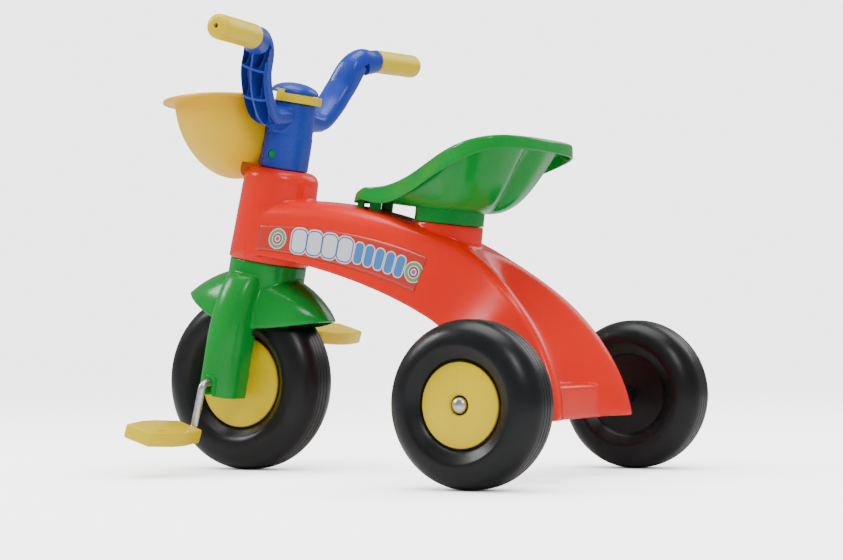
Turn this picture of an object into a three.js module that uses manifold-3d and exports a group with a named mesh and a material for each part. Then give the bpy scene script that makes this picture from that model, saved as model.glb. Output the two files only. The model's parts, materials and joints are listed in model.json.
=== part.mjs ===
// Children's tricycle with a front crank drive, in moulded plastic on steel rods.
// Millimetres and degrees. The front is -Y, the rider's left is +X, up is +Z, and the ground is Z = 0.
import * as THREE from 'three';
import { mergeVertices } from 'three/addons/utils/BufferGeometryUtils.js';
import Module from 'manifold-3d';

const wasm = await Module();
wasm.setup();

// ---- driving dimensions -------------------------------------------------------------------
const wheelbase = 381;
const rearTrack = 366;             // between the middle planes of the rear wheels
const rake = 11.17;                // the steering axis leans back and passes through the front axle
const touchGap = 0.3;              // between pieces that touch
const runGap = 0.3;                // all round a shaft that turns

const rearWheelRadius = 80;
const rearWheelHalf = 30.4;        // half the tyre's width
const rearDishRadius = 41;         // recess that takes the hub cap
const rearDishDepth = 10.4;
const frontWheelRadius = 97;
const frontWheelHalf = 31.5;
const frontDishRadius = 50.6;
const frontDishDepth = 13.9;
const tyreShoulder = 24;           // radius from the tread into the side wall
const dishFlare = 9;               // the recess opens out by this much at its lip
const wheelWall = 3;
const hubWall = 7;                 // round the bore, inside the hollow wheel
const ventRadius = 2.5;
const hubCapThickness = 3.2;
const hubCapDome = 2;
const hubCapHole = 10;             // in a rear hub cap, round the axle cap

const axleRadius = 5;
const axleCapRadius = 7.8;
const axleCapHeight = 7.4;
const spacerRadius = 9;
const axleTubeRadius = 12;         // moulded in the body, round the axle
const axleTubeHalf = 98;

const crankRodRadius = 4;
const crankLength = 53.6;
const crankForward = 14;           // the left arm points this far ahead of straight down
const crankBend = 8;
const crankClear = 12.5;            // from a leg's outer face to the middle of the crank's arm
const pedalLength = 88;
const pedalEndWidth = 34;
const pedalMidWidth = 47;
const pedalThickness = 15;
const pedalTilt = 17;              // front edge up
const pedalEndWall = 6;
const slitLength = 12;
const slitWidth = 1.6;

// Heights named without a Z are measured along the steering axis from the front axle.
const headClear = 37;              // the head's lower face above the tread of the front wheel
const headLength = 102;
const headBottom = frontWheelRadius + headClear;
const headTop = headBottom + headLength;
const headRadiusLow = 44;
const headRadiusHigh = 41;
const headShoulder = 12;
const bodyWall = 3;
const columnRadius = 20;
const columnWall = 3.5;
const sleeveWall = 3.5;
const crownRadius = 42;
const crownPlate = 4;
const crownDepth = 36;
const forkWall = 3;

const legBottom = -14.5;
const legWheelGap = 4.5;           // between a leg and the side of the tyre
const legInnerX = frontWheelHalf + legWheelGap;
const legOuterX = legInnerX + 39;
const legHalfDepth = 22.6;         // half of a leg's fore and aft size
const legTop = headBottom - 16;
const legShoulderStart = legTop - 78; // above this height the leg bends in to the crown
const slotRim = 4;                 // raised lip round the axle slot
const slotRimProud = 1.8;

const visorClear = 29;             // the crest of the mudguard above the tread
const visorRadius = frontWheelRadius + visorClear;
const visorReach = frontWheelRadius;
const visorHalfWidth = 48;
const visorEdgeMiddle = visorRadius - 66; // height of its lower edge at the legs
const visorEdgeTip = visorEdgeMiddle + 25;

const stemRadiusLow = 27;
const stemRadiusHigh = 25.2;
const stemLength = 73.2;
const stemTop = headTop + touchGap + stemLength;
const armRoot = new THREE.Vector3(16, 0, stemTop - 16);
const armKnee = new THREE.Vector3(48, -0.5, stemTop - 17);
const armWaist = new THREE.Vector3(68, 1, stemTop + 1);
const armElbow = new THREE.Vector3(82, 3.5, stemTop + 24);
const armNeck = new THREE.Vector3(94, 10, stemTop + 49);
const gripStart = new THREE.Vector3(120, 19, stemTop + 61);
const armHalfDepth = 17;
const armHalfThickness = 10.5;
const armWall = 2.6;
const armBays = 3;
const gripLength = 76;
const gripRadius = 13;
const gripSweep = 5.6;             // the grips point back by this much
const gripRise = 2;
const gripCoreRadius = 9.5;
const gripEndHole = 2.6;
const clipThickness = 9;
const clipRadius = 28;
const clipFrom = -10;              // the clip is a horseshoe between these bearings
const clipTo = 150;
const domeRadius = 26;
const domeHeight = 12.5;
const snapHoleRadius = 4.7;
const snapHoleHeight = headTop + 15;

const bucketRimRise = 6.4;          // the level rim stands above the middle of the stem's top
const bucketDepth = 86;
const bucketFront = 82;            // front of the bowl, ahead of the front axle
const bucketHalfWidth = 81;
const bucketWidest = -3;           // the widest place, ahead of the front axle
const bucketBack = -40;            // flat back at the rim, ahead of the front axle
const bucketWall = 2.6;
const rimFlange = 13;
const rimThickness = 4;
const screwRadius = 2.2;
const screwHeadRadius = 4.5;
const screwHeadHeight = 2.6;

const archTopDrop = 34.5;          // the beam's crest leaves the head this far below its top
const archLowRise = 5.5;           // and its lower edge this far above the head's bottom
const skirtZ = 61;                 // lower edge of the body's tail
const tailReach = 41;              // the tail ends this far behind the rear axle
const skirtReach = 45;             // and starts this far ahead of it
const beamHalfWidth = 42.5;
const beamEdgeRadius = 20;
const beamCrown = 2.5;              // the middle of the beam's top stands above its rounded edges
const tailHalfWidth = 91;
const tailEdgeRadius = 7;
const sideDraft = 2;
const channelDepth = 38;
const axleBoxHalf = 50;
const axleBoxReach = 23;
const axleBoxTop = 95;

const seatJointAhead = 127;        // middle of the seat's joint, ahead of the rear axle
const seatJointRise = 9;           // and above the beam's crest there
const seatTilt = 7.6;              // the seat's joint leans back
const bossHalfLength = 36.5;
const bossHalfWidth = 31;
const bossDepth = 34;
const bossPlate = 3;
const seatFloor = 13.6;            // underside of the seat's pan above the joint
const seatWall = 3;
const seatNose = -114;
const seatTail = 107;
const seatHalfWidth = 96;
const noseDrop = 7;                // the rim rounds down at the nose
const rimLow = 29;                 // crest of the rim above the joint, at the nose
const rimRise = 69;                // and how much higher it is at the tail
const rimBand = 19.5;              // height of the turned-down edge at the sides
const noseBand = 11;               // at the nose
const tailBand = 13.5;             // and at the tail
const seatScrewSpacing = 36;
const noseLegX = 12;               // small legs under the nose rest on the beam

const labelTop = [0.54, 0.68];     // share of the wall's height at the upper edge, fore and aft
const labelBottom = [0.1, 0.2];
const labelFrom = 0.03;            // where the label starts and ends along the arch
const labelTo = 0.385;
const labelThickness = 0.5;

// ---- colours --------------------------------------------------------------------------------
const finish = (color, roughness, metalness = 0) =>
  new THREE.MeshStandardMaterial({ color, roughness, metalness });
const redPlastic = finish(0xf3422c, 0.3);
const greenPlastic = finish(0x009640, 0.25);
const bluePlastic = finish(0x3452aa, 0.3);
const yellowPlastic = finish(0xe6c814, 0.35);
const bucketPlastic = finish(0xfac80a, 0.4);
const blackPlastic = finish(0x1e2024, 0.45);
const labelFilm = finish(0xd9362a, 0.35);
const zincSteel = finish(0xb4b6b8, 0.35, 0.9);

// ---- solids -----------------------------------------------------------------------------------
const radians = THREE.MathUtils.degToRad;
const lerp = THREE.MathUtils.lerp;
const smooth = THREE.MathUtils.smoothstep;
const point = (x, y, z) => new THREE.Vector3(x, y, z);

function fromTriangles(positions, triangles) {
  const kept = triangles.filter(([a, b, c]) => a !== b && b !== c && c !== a);
  let volume = 0;
  for (const [a, b, c] of kept) {
    const [p, q, r] = [a, b, c].map((i) => new THREE.Vector3().fromArray(positions, 3 * i));
    volume += p.dot(q.cross(r));
  }
  const order = volume < 0 ? ([a, b, c]) => [a, c, b] : (triangle) => triangle;
  return new wasm.Manifold(new wasm.Mesh({
    numProp: 3,
    vertProperties: new Float32Array(positions),
    triVerts: new Uint32Array(kept.flatMap(order)),
  }));
}

function fromGeometry(geometry) {
  geometry.deleteAttribute('normal');
  geometry.deleteAttribute('uv');
  const merged = mergeVertices(geometry, 1e-4);
  const index = merged.index.array;
  const triangles = [];
  for (let i = 0; i < index.length; i += 3) triangles.push([index[i], index[i + 1], index[i + 2]]);
  return fromTriangles(merged.attributes.position.array, triangles);
}

// Turned solid: profile points are [radius, distance along the axis].
function turned(profile, axis = 'z', sides = 24) {
  const closed = profile[0][0] > 0 ? [...profile, profile[0]] : profile;
  const geometry = new THREE.LatheGeometry(closed.map(([r, h]) => new THREE.Vector2(r, h)), sides);
  if (axis === 'z') geometry.rotateX(Math.PI / 2);
  if (axis === 'x') geometry.rotateZ(-Math.PI / 2);
  return fromGeometry(geometry);
}

const rod = (radius, from, to, axis, sides) =>
  turned([[0, from], [radius, from], [radius, to], [0, to]], axis, sides);
const tube = (inner, outer, from, to, axis, sides) =>
  turned([[inner, from], [outer, from], [outer, to], [inner, to]], axis, sides);

// Skin over closed sections that all have the same number of points, with flat ends.
function loft(sections) {
  const count = sections[0].length;
  const last = (sections.length - 1) * count;
  const triangles = [];
  for (let i = 0; i < sections.length - 1; i += 1) {
    for (let j = 0; j < count; j += 1) {
      const a = i * count + j;
      const b = i * count + ((j + 1) % count);
      triangles.push([a, b, b + count], [a, b + count, a + count]);
    }
  }
  for (const cap of flatCap(sections[0])) triangles.push([...cap].reverse());
  for (const cap of flatCap(sections.at(-1))) triangles.push(cap.map((i) => i + last));
  return fromTriangles(sections.flat().flatMap((p) => p.toArray()), triangles);
}

function flatCap(section) {
  const normal = new THREE.Vector3();
  section.forEach((p, i) => normal.add(p.clone().cross(section[(i + 1) % section.length])));
  normal.normalize();
  const across = Math.abs(normal.x) < 0.9 ? point(1, 0, 0) : point(0, 1, 0);
  const u = across.cross(normal).normalize();
  const v = normal.clone().cross(u);
  const flat = section.map((p) => new THREE.Vector2(p.dot(u), p.dot(v)));
  const area = (a, b, c) => (b.x - a.x) * (c.y - a.y) - (c.x - a.x) * (b.y - a.y);
  return THREE.ShapeUtils.triangulateShape(flat, []).map(([a, b, c]) =>
    area(flat[a], flat[b], flat[c]) > 0 ? [a, b, c] : [a, c, b]);
}

const mirrored = (sections) => sections.map((section) => section.map((p) => point(-p.x, p.y, p.z)));
const joined = (solids) => solids.reduce((whole, solid) => whole.add(solid));

// Closed oval with rounder or squarer corners, as [across, along] points.
function oval(halfX, halfY, power = 2, sides = 24) {
  return Array.from({ length: sides }, (_, i) => {
    const angle = (2 * Math.PI * i) / sides;
    const share = (value) => Math.sign(value) * Math.abs(value) ** (2 / power);
    return [halfX * share(Math.cos(angle)), halfY * share(Math.sin(angle))];
  });
}

const ovalPrism = (halfX, halfY, from, to, power) =>
  loft([from, to].map((z) => oval(halfX, halfY, power).map(([x, y]) => point(x, y, z))));

function block(low, high) {
  const geometry = new THREE.BoxGeometry(high.x - low.x, high.y - low.y, high.z - low.z);
  geometry.translate((low.x + high.x) / 2, (low.y + high.y) / 2, (low.z + high.z) / 2);
  return fromGeometry(geometry);
}

function piece(name, solid, material) {
  const { numProp, vertProperties, triVerts } = solid.getMesh();
  const geometry = new THREE.BufferGeometry();
  geometry.setAttribute('position', new THREE.BufferAttribute(vertProperties, numProp));
  geometry.setIndex(new THREE.BufferAttribute(triVerts, 1));
  geometry.computeVertexNormals();
  const mesh = new THREE.Mesh(geometry, material);
  mesh.name = name;
  return mesh;
}

// ---- places -----------------------------------------------------------------------------------
// The origin is on the ground in the middle of the whole length.
const rimFront = bucketFront + rimFlange;
const rearAxleY = (wheelbase + rimFront - rearWheelRadius) / 2;
const frontAxleY = rearAxleY - wheelbase;
const sineRake = Math.sin(radians(rake));
const cosineRake = Math.cos(radians(rake));

const axisZ = (along) => frontWheelRadius + along * cosineRake;
const onAxis = (z) => frontAxleY + ((z - frontWheelRadius) * sineRake) / cosineRake;

// The steering frame's Z is the steering axis and its origin is the middle of the front axle.
const fromSteering = (solid) => solid.rotate([-rake, 0, 0]).translate([0, frontAxleY, frontWheelRadius]);

const steering = new THREE.Group();
steering.position.set(0, frontAxleY, frontWheelRadius);
steering.rotation.x = radians(-rake);

// ---- wheels -----------------------------------------------------------------------------------
// Hollow blow-moulded wheel, turned about X, with the same recess on both sides. Its flats touch the
// true circle, and one of them lies on the ground.
function wheelSide(radius, half, dishRadius, dishDepth, wall) {
  const shoulder = tyreShoulder - wall;
  const centreR = radius - tyreShoulder;
  const centreX = half - tyreShoulder;
  const arcSteps = wall > 0 ? 2 : 4;
  const arc = Array.from({ length: arcSteps + 1 }, (_, i) => {
    const angle = (i / arcSteps) * (Math.PI / 2);
    return [centreR + shoulder * Math.cos(angle), centreX + shoulder * Math.sin(angle)];
  });
  const floor = half - dishDepth - wall;
  const lip = [dishRadius + dishFlare + wall / 2, half - dishDepth * 0.25 - wall];
  return [...arc, lip, [dishRadius + wall, floor]];
}

function wheel(name, radius, half, dishRadius, dishDepth, bore) {
  const outer = wheelSide(radius, half, dishRadius, dishDepth, 0);
  const floor = half - dishDepth;
  const side = [...outer, [bore, floor]];
  const both = [...side.map(([r, x]) => [r, -x]).reverse(), ...side];
  const inner = wheelSide(radius, half, dishRadius, dishDepth, wheelWall);
  const hollowSide = [...inner, [bore + hubWall, floor - wheelWall]];
  const hollow = [...hollowSide.map(([r, x]) => [r, -x]).reverse(), ...hollowSide];
  const vent = rod(ventRadius, 0, half, 'x', 8).translate([0, 0, dishRadius - 3 * ventRadius]);
  const flats = 28;
  const toFlat = Math.cos(Math.PI / flats);
  const skin = turned(both.map(([r, x]) => [r / toFlat, x]), 'x', flats).rotate([180 / flats, 0, 0]);
  return { name, solid: skin.subtract(turned(hollow, 'x', 14)), vent };
}

function hubCap(dishRadius, hole) {
  const rim = dishRadius - 1;
  const shoulder = [dishRadius * 0.6, hubCapThickness + hubCapDome * 0.7];
  const middle = [hole, hubCapThickness + hubCapDome];
  return turned([[hole, 0], [rim, 0], [rim, hubCapThickness], shoulder, middle], 'x', 26);
}

const rearAxle = new THREE.Group();
rearAxle.position.set(0, rearAxleY, rearWheelRadius);
const rearFloorX = rearTrack / 2 + rearWheelHalf - rearDishDepth;
const rearInnerX = rearTrack / 2 - rearWheelHalf + rearDishDepth;
const axleEndX = rearFloorX + axleCapHeight * 0.6;
rearAxle.add(piece('rear_axle', rod(axleRadius, -axleEndX, axleEndX, 'x', 16), zincSteel));

for (const [hand, side] of [['left', 1], ['right', -1]]) {
  const tyre = wheel(`rear_wheel_${hand}`, rearWheelRadius, rearWheelHalf, rearDishRadius, rearDishDepth,
    axleRadius + runGap);
  const wheelSolid = tyre.solid.subtract(tyre.vent.scale([-side, 1, 1]));
  rearAxle.add(piece(tyre.name, wheelSolid.translate([side * rearTrack / 2, 0, 0]), blackPlastic));
  const cap = hubCap(rearDishRadius, hubCapHole).scale([side, 1, 1]);
  const capPlace = [side * (rearFloorX + touchGap), 0, 0];
  rearAxle.add(piece(`rear_hub_cap_${hand}`, cap.translate(capPlace), yellowPlastic));

  const socket = axleRadius + touchGap;
  const socketEnd = axleEndX - rearFloorX + touchGap;
  const dome = Array.from({ length: 4 }, (_, i) => {
    const angle = (i / 3) * (Math.PI / 2);
    return [axleCapRadius * Math.cos(angle), 2 + (axleCapHeight - 2) * Math.sin(angle)];
  });
  dome.at(-1)[0] = 0;
  const skirt = [[0, socketEnd], [socket, socketEnd], [socket, touchGap], [axleCapRadius, touchGap]];
  const button = turned([...skirt, ...dome], 'x', 16).scale([side, 1, 1]);
  rearAxle.add(piece(`axle_cap_${hand}`, button.translate([side * rearFloorX, 0, 0]), zincSteel));

  const spacerBore = axleRadius + runGap;
  const spacer = tube(spacerBore, spacerRadius, axleTubeHalf + touchGap, rearInnerX - touchGap, 'x', 16);
  rearAxle.add(piece(`axle_spacer_${hand}`, spacer.scale([side, 1, 1]), blackPlastic));
}

// ---- body: arched shell, open underneath ----------------------------------------------------------
// Side view of the arch: a quarter of a superellipse from the head to the tail.
function archPoint(start, end, forePower, aftPower, t) {
  const angle = (t * Math.PI) / 2;
  return point(0, lerp(start.y, end.y, Math.sin(angle) ** (2 / forePower)),
    lerp(end.z, start.z, Math.max(0, Math.cos(angle)) ** (2 / aftPower)));
}

const archTopZ = axisZ(headTop) - archTopDrop;
const archLowZ = axisZ(headBottom) + archLowRise;
const crestStart = point(0, onAxis(archTopZ), archTopZ);
const crestEnd = point(0, rearAxleY + tailReach, skirtZ);
const edgeStart = point(0, onAxis(archLowZ), archLowZ);
const edgeEnd = point(0, rearAxleY - skirtReach, skirtZ);
const crestFore = 2.1;
const crestAft = 1.8;
const crestAt = (t) => archPoint(crestStart, crestEnd, crestFore, crestAft, t);
const edgeAt = (t) => archPoint(edgeStart, edgeEnd, 1.35, 2, t ** 0.64);
const crestHeight = (y) => {
  const along = (y - crestStart.y) / (crestEnd.y - crestStart.y);
  return lerp(crestEnd.z, crestStart.z, (1 - along ** crestFore) ** (1 / crestAft));
};
const railStart = 0.44;            // where the beam opens into two rails with a channel between
const opening = (t) => (Math.max(0, t - railStart) / (1 - railStart)) ** 0.75;
const edgeRadiusAt = (t) => lerp(beamEdgeRadius, tailEdgeRadius, smooth(t, 0.1, 0.7));
const sideAt = (t) => lerp(beamHalfWidth, tailHalfWidth, opening(t));
const channelAt = (t) => channelDepth * (0.7 * smooth(t, railStart - 0.02, 0.62) + 0.3 * smooth(t, 0.6, 1));
const crownAt = (t) => beamCrown * (1 - smooth(t, 0.3, railStart));

// Half of a section, from its lower edge over the rail to the middle of the channel, as [x, height].
function archOutline(t, height, wall, below) {
  const radius = Math.max(1.5, edgeRadiusAt(t) - wall);
  const side = sideAt(t) - wall;
  const crown = crownAt(t);
  const top = height - wall - crown;
  const outline = [[side + sideDraft, -below], [side, top - radius]];
  for (const angle of [30, 60, 90].map(radians)) {
    outline.push([side - radius * (1 - Math.cos(angle)), top - radius * (1 - Math.sin(angle))]);
  }
  const crest = side - radius;
  for (const share of [0.75, 0.5, 0.25, 0]) {
    outline.push([crest * share, top - ((channelAt(t) - crown) * (1 + Math.cos(Math.PI * share))) / 2]);
  }
  return outline;
}

function archSection(t, wall = 0, below = 0) {
  const low = edgeAt(t);
  const up = crestAt(t).sub(low);
  const height = up.length();
  up.normalize();
  const half = archOutline(t, height, wall, below);
  const whole = [...half, ...half.slice(0, -1).reverse().map(([x, v]) => [-x, v])];
  return whole.map(([x, v]) => low.clone().addScaledVector(up, v).add(point(x, 0, 0)));
}

const archSteps = 14;
const stepsFrom = (first) => Array.from({ length: archSteps + 1 }, (_, i) => lerp(first, 1, i / archSteps));
const archOuter = loft(stepsFrom(0).map((t) => archSection(t)));
const innerSections = stepsFrom(0.02).map((t) => archSection(t, bodyWall, 6));
const lastInner = innerSections.at(-1);
innerSections.push(lastInner.map((p) => p.clone().add(point(0, 0, -8))));
const archInner = loft(innerSections);

const shoulderPoint = (angle, inset) => [
  headRadiusHigh - headShoulder + (headShoulder - inset) * Math.cos(angle),
  headTop - headShoulder + (headShoulder - inset) * Math.sin(angle)];
const shoulderArc = (inset) => [0, 30, 60, 90].map((angle) => shoulderPoint(radians(angle), inset));
const headOuter = turned(
  [[0, headBottom], [headRadiusLow, headBottom], ...shoulderArc(0), [0, headTop]], 'z', 32);
const headInner = turned([[0, headBottom - 20], [headRadiusLow - bodyWall, headBottom - 20],
  [headRadiusLow - bodyWall, headBottom], ...shoulderArc(bodyWall), [0, headTop - bodyWall]], 'z', 24);
const sleeveInner = columnRadius + runGap;
const headSleeve = tube(sleeveInner, sleeveInner + sleeveWall, headBottom + 3, headTop - 1, 'z', 24);
const headBore = rod(sleeveInner, headBottom - 30, headTop + 30, 'z', 24);

const seatJointY = rearAxleY - seatJointAhead;
const seatJointZ = crestHeight(seatJointY) + seatJointRise;
const seatPlace = (solid) => solid.rotate([-seatTilt, 0, 0]).translate([0, seatJointY, seatJointZ]);
const bossOuter = seatPlace(ovalPrism(bossHalfWidth, bossHalfLength, -bossDepth, 0, 2.3));
const bossInner = seatPlace(
  ovalPrism(bossHalfWidth - bodyWall, bossHalfLength - bodyWall, -bossDepth - 8, -bossPlate, 2.3));

function axleBox(wall, below) {
  const half = axleBoxHalf - wall;
  const back = rearAxleY + axleBoxReach - wall;
  const top = axleBoxTop - wall;
  const round = 7 - wall / 2;
  const outline = [[half, skirtZ - below], [half, top - round], [half - round, top],
    [round - half, top], [-half, top - round], [-half, skirtZ - below]];
  const fore = rearAxleY - 20 + wall;
  const section = (y) => outline.map(([x, z]) => point(x, y, z));
  const rounded = section(back).map((p) =>
    point(p.x * (1 - (round * 0.6) / half), p.y, p.z > skirtZ + 8 ? p.z - round * 0.5 : p.z));
  return loft([section(fore), section(back - round), rounded]);
}

const axleTube = rod(axleTubeRadius, -axleTubeHalf, axleTubeHalf, 'x', 18)
  .translate([0, rearAxleY, rearWheelRadius]);
const axleBore = rod(axleRadius + runGap, -2 * axleTubeHalf, 2 * axleTubeHalf, 'x', 18)
  .translate([0, rearAxleY, rearWheelRadius]);
const screwClear = screwRadius + touchGap;
const seatScrewHoles = joined([-1, 1].map((side) =>
  rod(screwClear, -bossDepth, 10, 'z', 10).translate([0, (side * seatScrewSpacing) / 2, 0])));

const shell = joined([archOuter, fromSteering(headOuter), bossOuter, axleBox(0, 1)])
  .subtract(joined([archInner, fromSteering(headInner), bossInner, axleBox(bodyWall, 12)]));
const seatRoom = seatPlace(ovalPrism(bossHalfWidth + 1, bossHalfLength + 1, 0, bossDepth, 2.3));
const frameSolid = joined([shell.subtract(seatRoom), fromSteering(headSleeve), axleTube])
  .subtract(joined([fromSteering(headBore), axleBore, seatPlace(seatScrewHoles)]));
const mainFrame = piece('main_frame', frameSolid, redPlastic);

// Printed film on each side wall, in the flat between the beam's lower edge and its rounded top.
function labelSection(t, side) {
  const edge = edgeAt(t);
  const up = crestAt(t).sub(edge);
  const height = up.length();
  up.normalize();
  const straight = height - edgeRadiusAt(t);
  const wallX = (v) => sideAt(t) + sideDraft * (1 - v / straight);
  const corner = (share, offset) => {
    const v = height * share;
    return edge.clone().addScaledVector(up, v).add(point(side * (wallX(v) + offset), 0, 0));
  };
  const near = touchGap + 0.1;
  const far = near + labelThickness;
  const along = (t - labelFrom) / (labelTo - labelFrom);
  const [low, high] = [labelBottom, labelTop].map(([fore, aft]) => lerp(fore, aft, along));
  return [corner(low, near), corner(high, near), corner(high, far), corner(low, far)];
}

const label = (hand, side) => piece(`label_${hand}`,
  loft(Array.from({ length: 9 }, (_, i) => labelSection(lerp(labelFrom, labelTo, i / 8), side))), labelFilm);

// ---- seat ------------------------------------------------------------------------------------------
// Half of the rim's outline, nose to tail, as [x, y] in the seat's frame.
const seatOutline = new THREE.SplineCurve([
  [0, seatNose], [15, seatNose + 5], [27, seatNose + 25], [34, seatNose + 56], [50, -26],
  [seatHalfWidth * 0.75, 8],
  [seatHalfWidth * 0.92, 36], [seatHalfWidth, seatTail - 43], [seatHalfWidth * 0.93, seatTail - 21],
  [seatHalfWidth * 0.75, seatTail - 9], [seatHalfWidth * 0.4, seatTail - 2], [0, seatTail],
].map(([x, y]) => new THREE.Vector2(x, y)));
const halfOutline = seatOutline.getSpacedPoints(15);
const otherHalf = halfOutline.slice(1, -1).reverse().map((p) => new THREE.Vector2(-p.x, p.y));
const rimOutline = [...halfOutline, ...otherHalf];
const rimHeight = (y) => rimLow + rimRise * smooth(y, seatNose + 17, seatTail + 18)
  - noseDrop * (1 - smooth(y, seatNose, seatNose + 22));
const valleyHalfWidth = 20;         // hollow between the two lobes at the back of the pan
const valleyDepth = 0.3;
const flangeFrom = 0.86;           // the pan's wall ends here and a flat flange runs out to the rim

const undersideOut = 2;            // the pan's underside flares out, so its steep walls keep their thickness

// One ring of the seat: spread is the share of the way from the stem to the rim, outward is in mm.
function seatRing(spread, heightOf, outward = 0) {
  return rimOutline.map((rim) => {
    const stem = rim.clone().normalize();
    const reach = 1 / Math.hypot(stem.x / bossHalfWidth, stem.y / bossHalfLength);
    const base = stem.clone().multiplyScalar(reach * 0.9);
    const valley = valleyDepth * smooth(rim.y, 0, seatTail) * Math.exp(-((rim.x / valleyHalfWidth) ** 2));
    const pulledIn = spread * (1 - valley * Math.sin(Math.PI * Math.min(1, spread)));
    const p = base.lerp(rim, pulledIn).add(stem.multiplyScalar(outward));
    return point(p.x, p.y, heightOf(rim, spread));
  });
}

const bowl = (lift) => (rim, spread) => {
  const floor = seatFloor + lift;
  const top = rimHeight(rim.y) - 2 - seatWall + lift;
  const depth = Math.min(1, (spread / flangeFrom) ** 2.4);
  return Math.max(lerp(floor, top, depth), floor);
};
const atRim = (drop) => (rim) => rimHeight(rim.y) - drop;
const bandHeight = (y) => lerp(noseBand, rimBand, smooth(y, seatNose, seatNose + 60))
  - (rimBand - tailBand) * smooth(y, 40, seatTail);
const bandEdge = (rim) => rimHeight(rim.y) - bandHeight(rim.y);

function seatShell() {
  const spreads = [0, 0.35, 0.55, 0.72, flangeFrom];
  const rings = [
    ...spreads.map((s) => seatRing(s, bowl(seatWall))),
    seatRing(0.94, atRim(0.6)), seatRing(0.985, atRim(1)), seatRing(1, atRim(5)), seatRing(1, bandEdge, 1),
    seatRing(1, bandEdge, -2), seatRing(0.97, atRim(7), -1.5),
    ...[...spreads].reverse().map((s) => seatRing(s, bowl(0), undersideOut * s)),
  ];
  return loft(rings);
}

const seatGroup = new THREE.Group();
seatGroup.position.set(0, seatJointY, seatJointZ);
seatGroup.rotation.x = radians(-seatTilt);
const stemOuter = ovalPrism(bossHalfWidth, bossHalfLength, touchGap, seatFloor + seatWall / 2, 2.3);
const stemInner = ovalPrism(bossHalfWidth - seatWall, bossHalfLength - seatWall, -1, seatFloor + 1, 2.3);
const pilotDepth = seatFloor - 1;
const screwPosts = joined([-1, 1].map((side) =>
  rod(screwRadius + 3, touchGap, seatFloor + 1, 'z', 10).translate([0, (side * seatScrewSpacing) / 2, 0])));
const pilots = joined([-1, 1].map((side) =>
  rod(screwClear, -5, pilotDepth, 'z', 10).translate([0, (side * seatScrewSpacing) / 2, 0])));
const beamRoom = archOuter.translate([0, -seatJointY, touchGap - seatJointZ]).rotate([seatTilt, 0, 0]);
const noseLeg = (x, from, to) =>
  block(point(x - 2, seatNose + from, -10), point(x + 2, seatNose + to, seatFloor + 6.5));
const noseLegs = joined([-noseLegX, noseLegX].flatMap((x) => [noseLeg(x, 8, 15), noseLeg(x, 23, 36)]))
  .subtract(beamRoom);
const seatSolid = seatShell().add(stemOuter.subtract(stemInner)).add(screwPosts).add(noseLegs)
  .subtract(pilots);
seatGroup.add(piece('seat', seatSolid, greenPlastic));

for (const [place, side] of [['front', -1], ['rear', 1]]) {
  const head = rod(screwHeadRadius, -bossPlate - touchGap - screwHeadHeight, -bossPlate - touchGap, 'z', 12);
  const shank = rod(screwRadius, -bossPlate - touchGap - 1, pilotDepth - touchGap, 'z', 10);
  const screw = head.add(shank).translate([0, (side * seatScrewSpacing) / 2, 0]);
  seatGroup.add(piece(`seat_screw_${place}`, screw, zincSteel));
}

// ---- fork: crown, column, legs and mudguard in one moulding ------------------------------------------
const crownTop = headBottom - touchGap;
const crownBottom = crownTop - crownDepth;
const legBulge = (h) => {
  const above = Math.max(0, h - legShoulderStart) / (legTop + 6 - legShoulderStart);
  return Math.sqrt(Math.max(0, 1 - above ** 2));
};

function legSection(h, wall, bulgeHeight = h) {
  const bulge = legBulge(bulgeHeight);
  const inner = legInnerX - (wall > 0 ? 10 : 0);
  const outer = lerp(crownRadius - 2, legOuterX, bulge) - wall;
  const half = legHalfDepth * (0.6 + 0.4 * bulge) - wall;
  const straight = lerp(inner, outer, 0.45);
  const arc = Array.from({ length: 8 }, (_, i) => {
    const angle = (i / 7) * Math.PI;
    return [straight + (outer - straight) * Math.sin(angle), -half * Math.cos(angle)];
  });
  return [[inner, -half], ...arc, [inner, half]].map(([x, y]) => point(x, y, h));
}

const legHeights = (from) => [from, legShoulderStart, 64, 84, 102, legTop];
const leg = (wall) => legHeights(legBottom + wall).map((h) => legSection(h, wall));
const visorEdge = (y) => lerp(visorEdgeMiddle, visorEdgeTip, (Math.abs(y) / visorReach) ** 1.5);

function visorSection(y, wall) {
  const share = Math.min(1, Math.abs(y) / visorReach);
  const halfWidth = Math.max(0.4, visorHalfWidth * (1 - share ** 2.2) ** 0.7 - wall);
  const edge = visorEdge(y) - (wall > 0 ? 8 : 0);
  const crest = Math.max(edge + 0.4, Math.sqrt(Math.max(0, (visorRadius - wall) ** 2 - y ** 2)));
  const arc = Array.from({ length: 9 }, (_, i) => {
    const angle = (i / 8) * Math.PI;
    return [halfWidth * Math.cos(angle), edge + (crest - edge) * Math.sin(angle) ** 0.8];
  });
  return arc.map(([x, z]) => point(x, y, z));
}

const visorSteps = [-1, -0.96, -0.85, -0.65, -0.4, 0, 0.4, 0.65, 0.85, 0.96, 1];
const visor = (wall) => loft(visorSteps.map((s) => visorSection(s * (visorReach - wall * 0.9), wall)));

const crownOuter = rod(crownRadius, crownBottom, crownTop, 'z', 28);
const crownInner = rod(crownRadius - forkWall, crownBottom - 20, crownTop - crownPlate, 'z', 24);
const column = tube(columnRadius - columnWall, columnRadius, crownTop - 1, stemTop - 6, 'z', 24);
const wheelRoom = rod(frontWheelRadius + 5, -frontWheelHalf - 3, frontWheelHalf + 3, 'x', 32);
const slotHalf = crankRodRadius + runGap;

function slotPrism(half, below, from, to) {
  const arch = Array.from({ length: 7 }, (_, i) => {
    const angle = (i / 6) * Math.PI;
    return [half * Math.cos(angle), half * Math.sin(angle)];
  });
  const outline = [[half, below], ...arch, [-half, below]];
  return loft([from, to].map((x) => outline.map(([y, z]) => point(x, y, z))));
}

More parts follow.
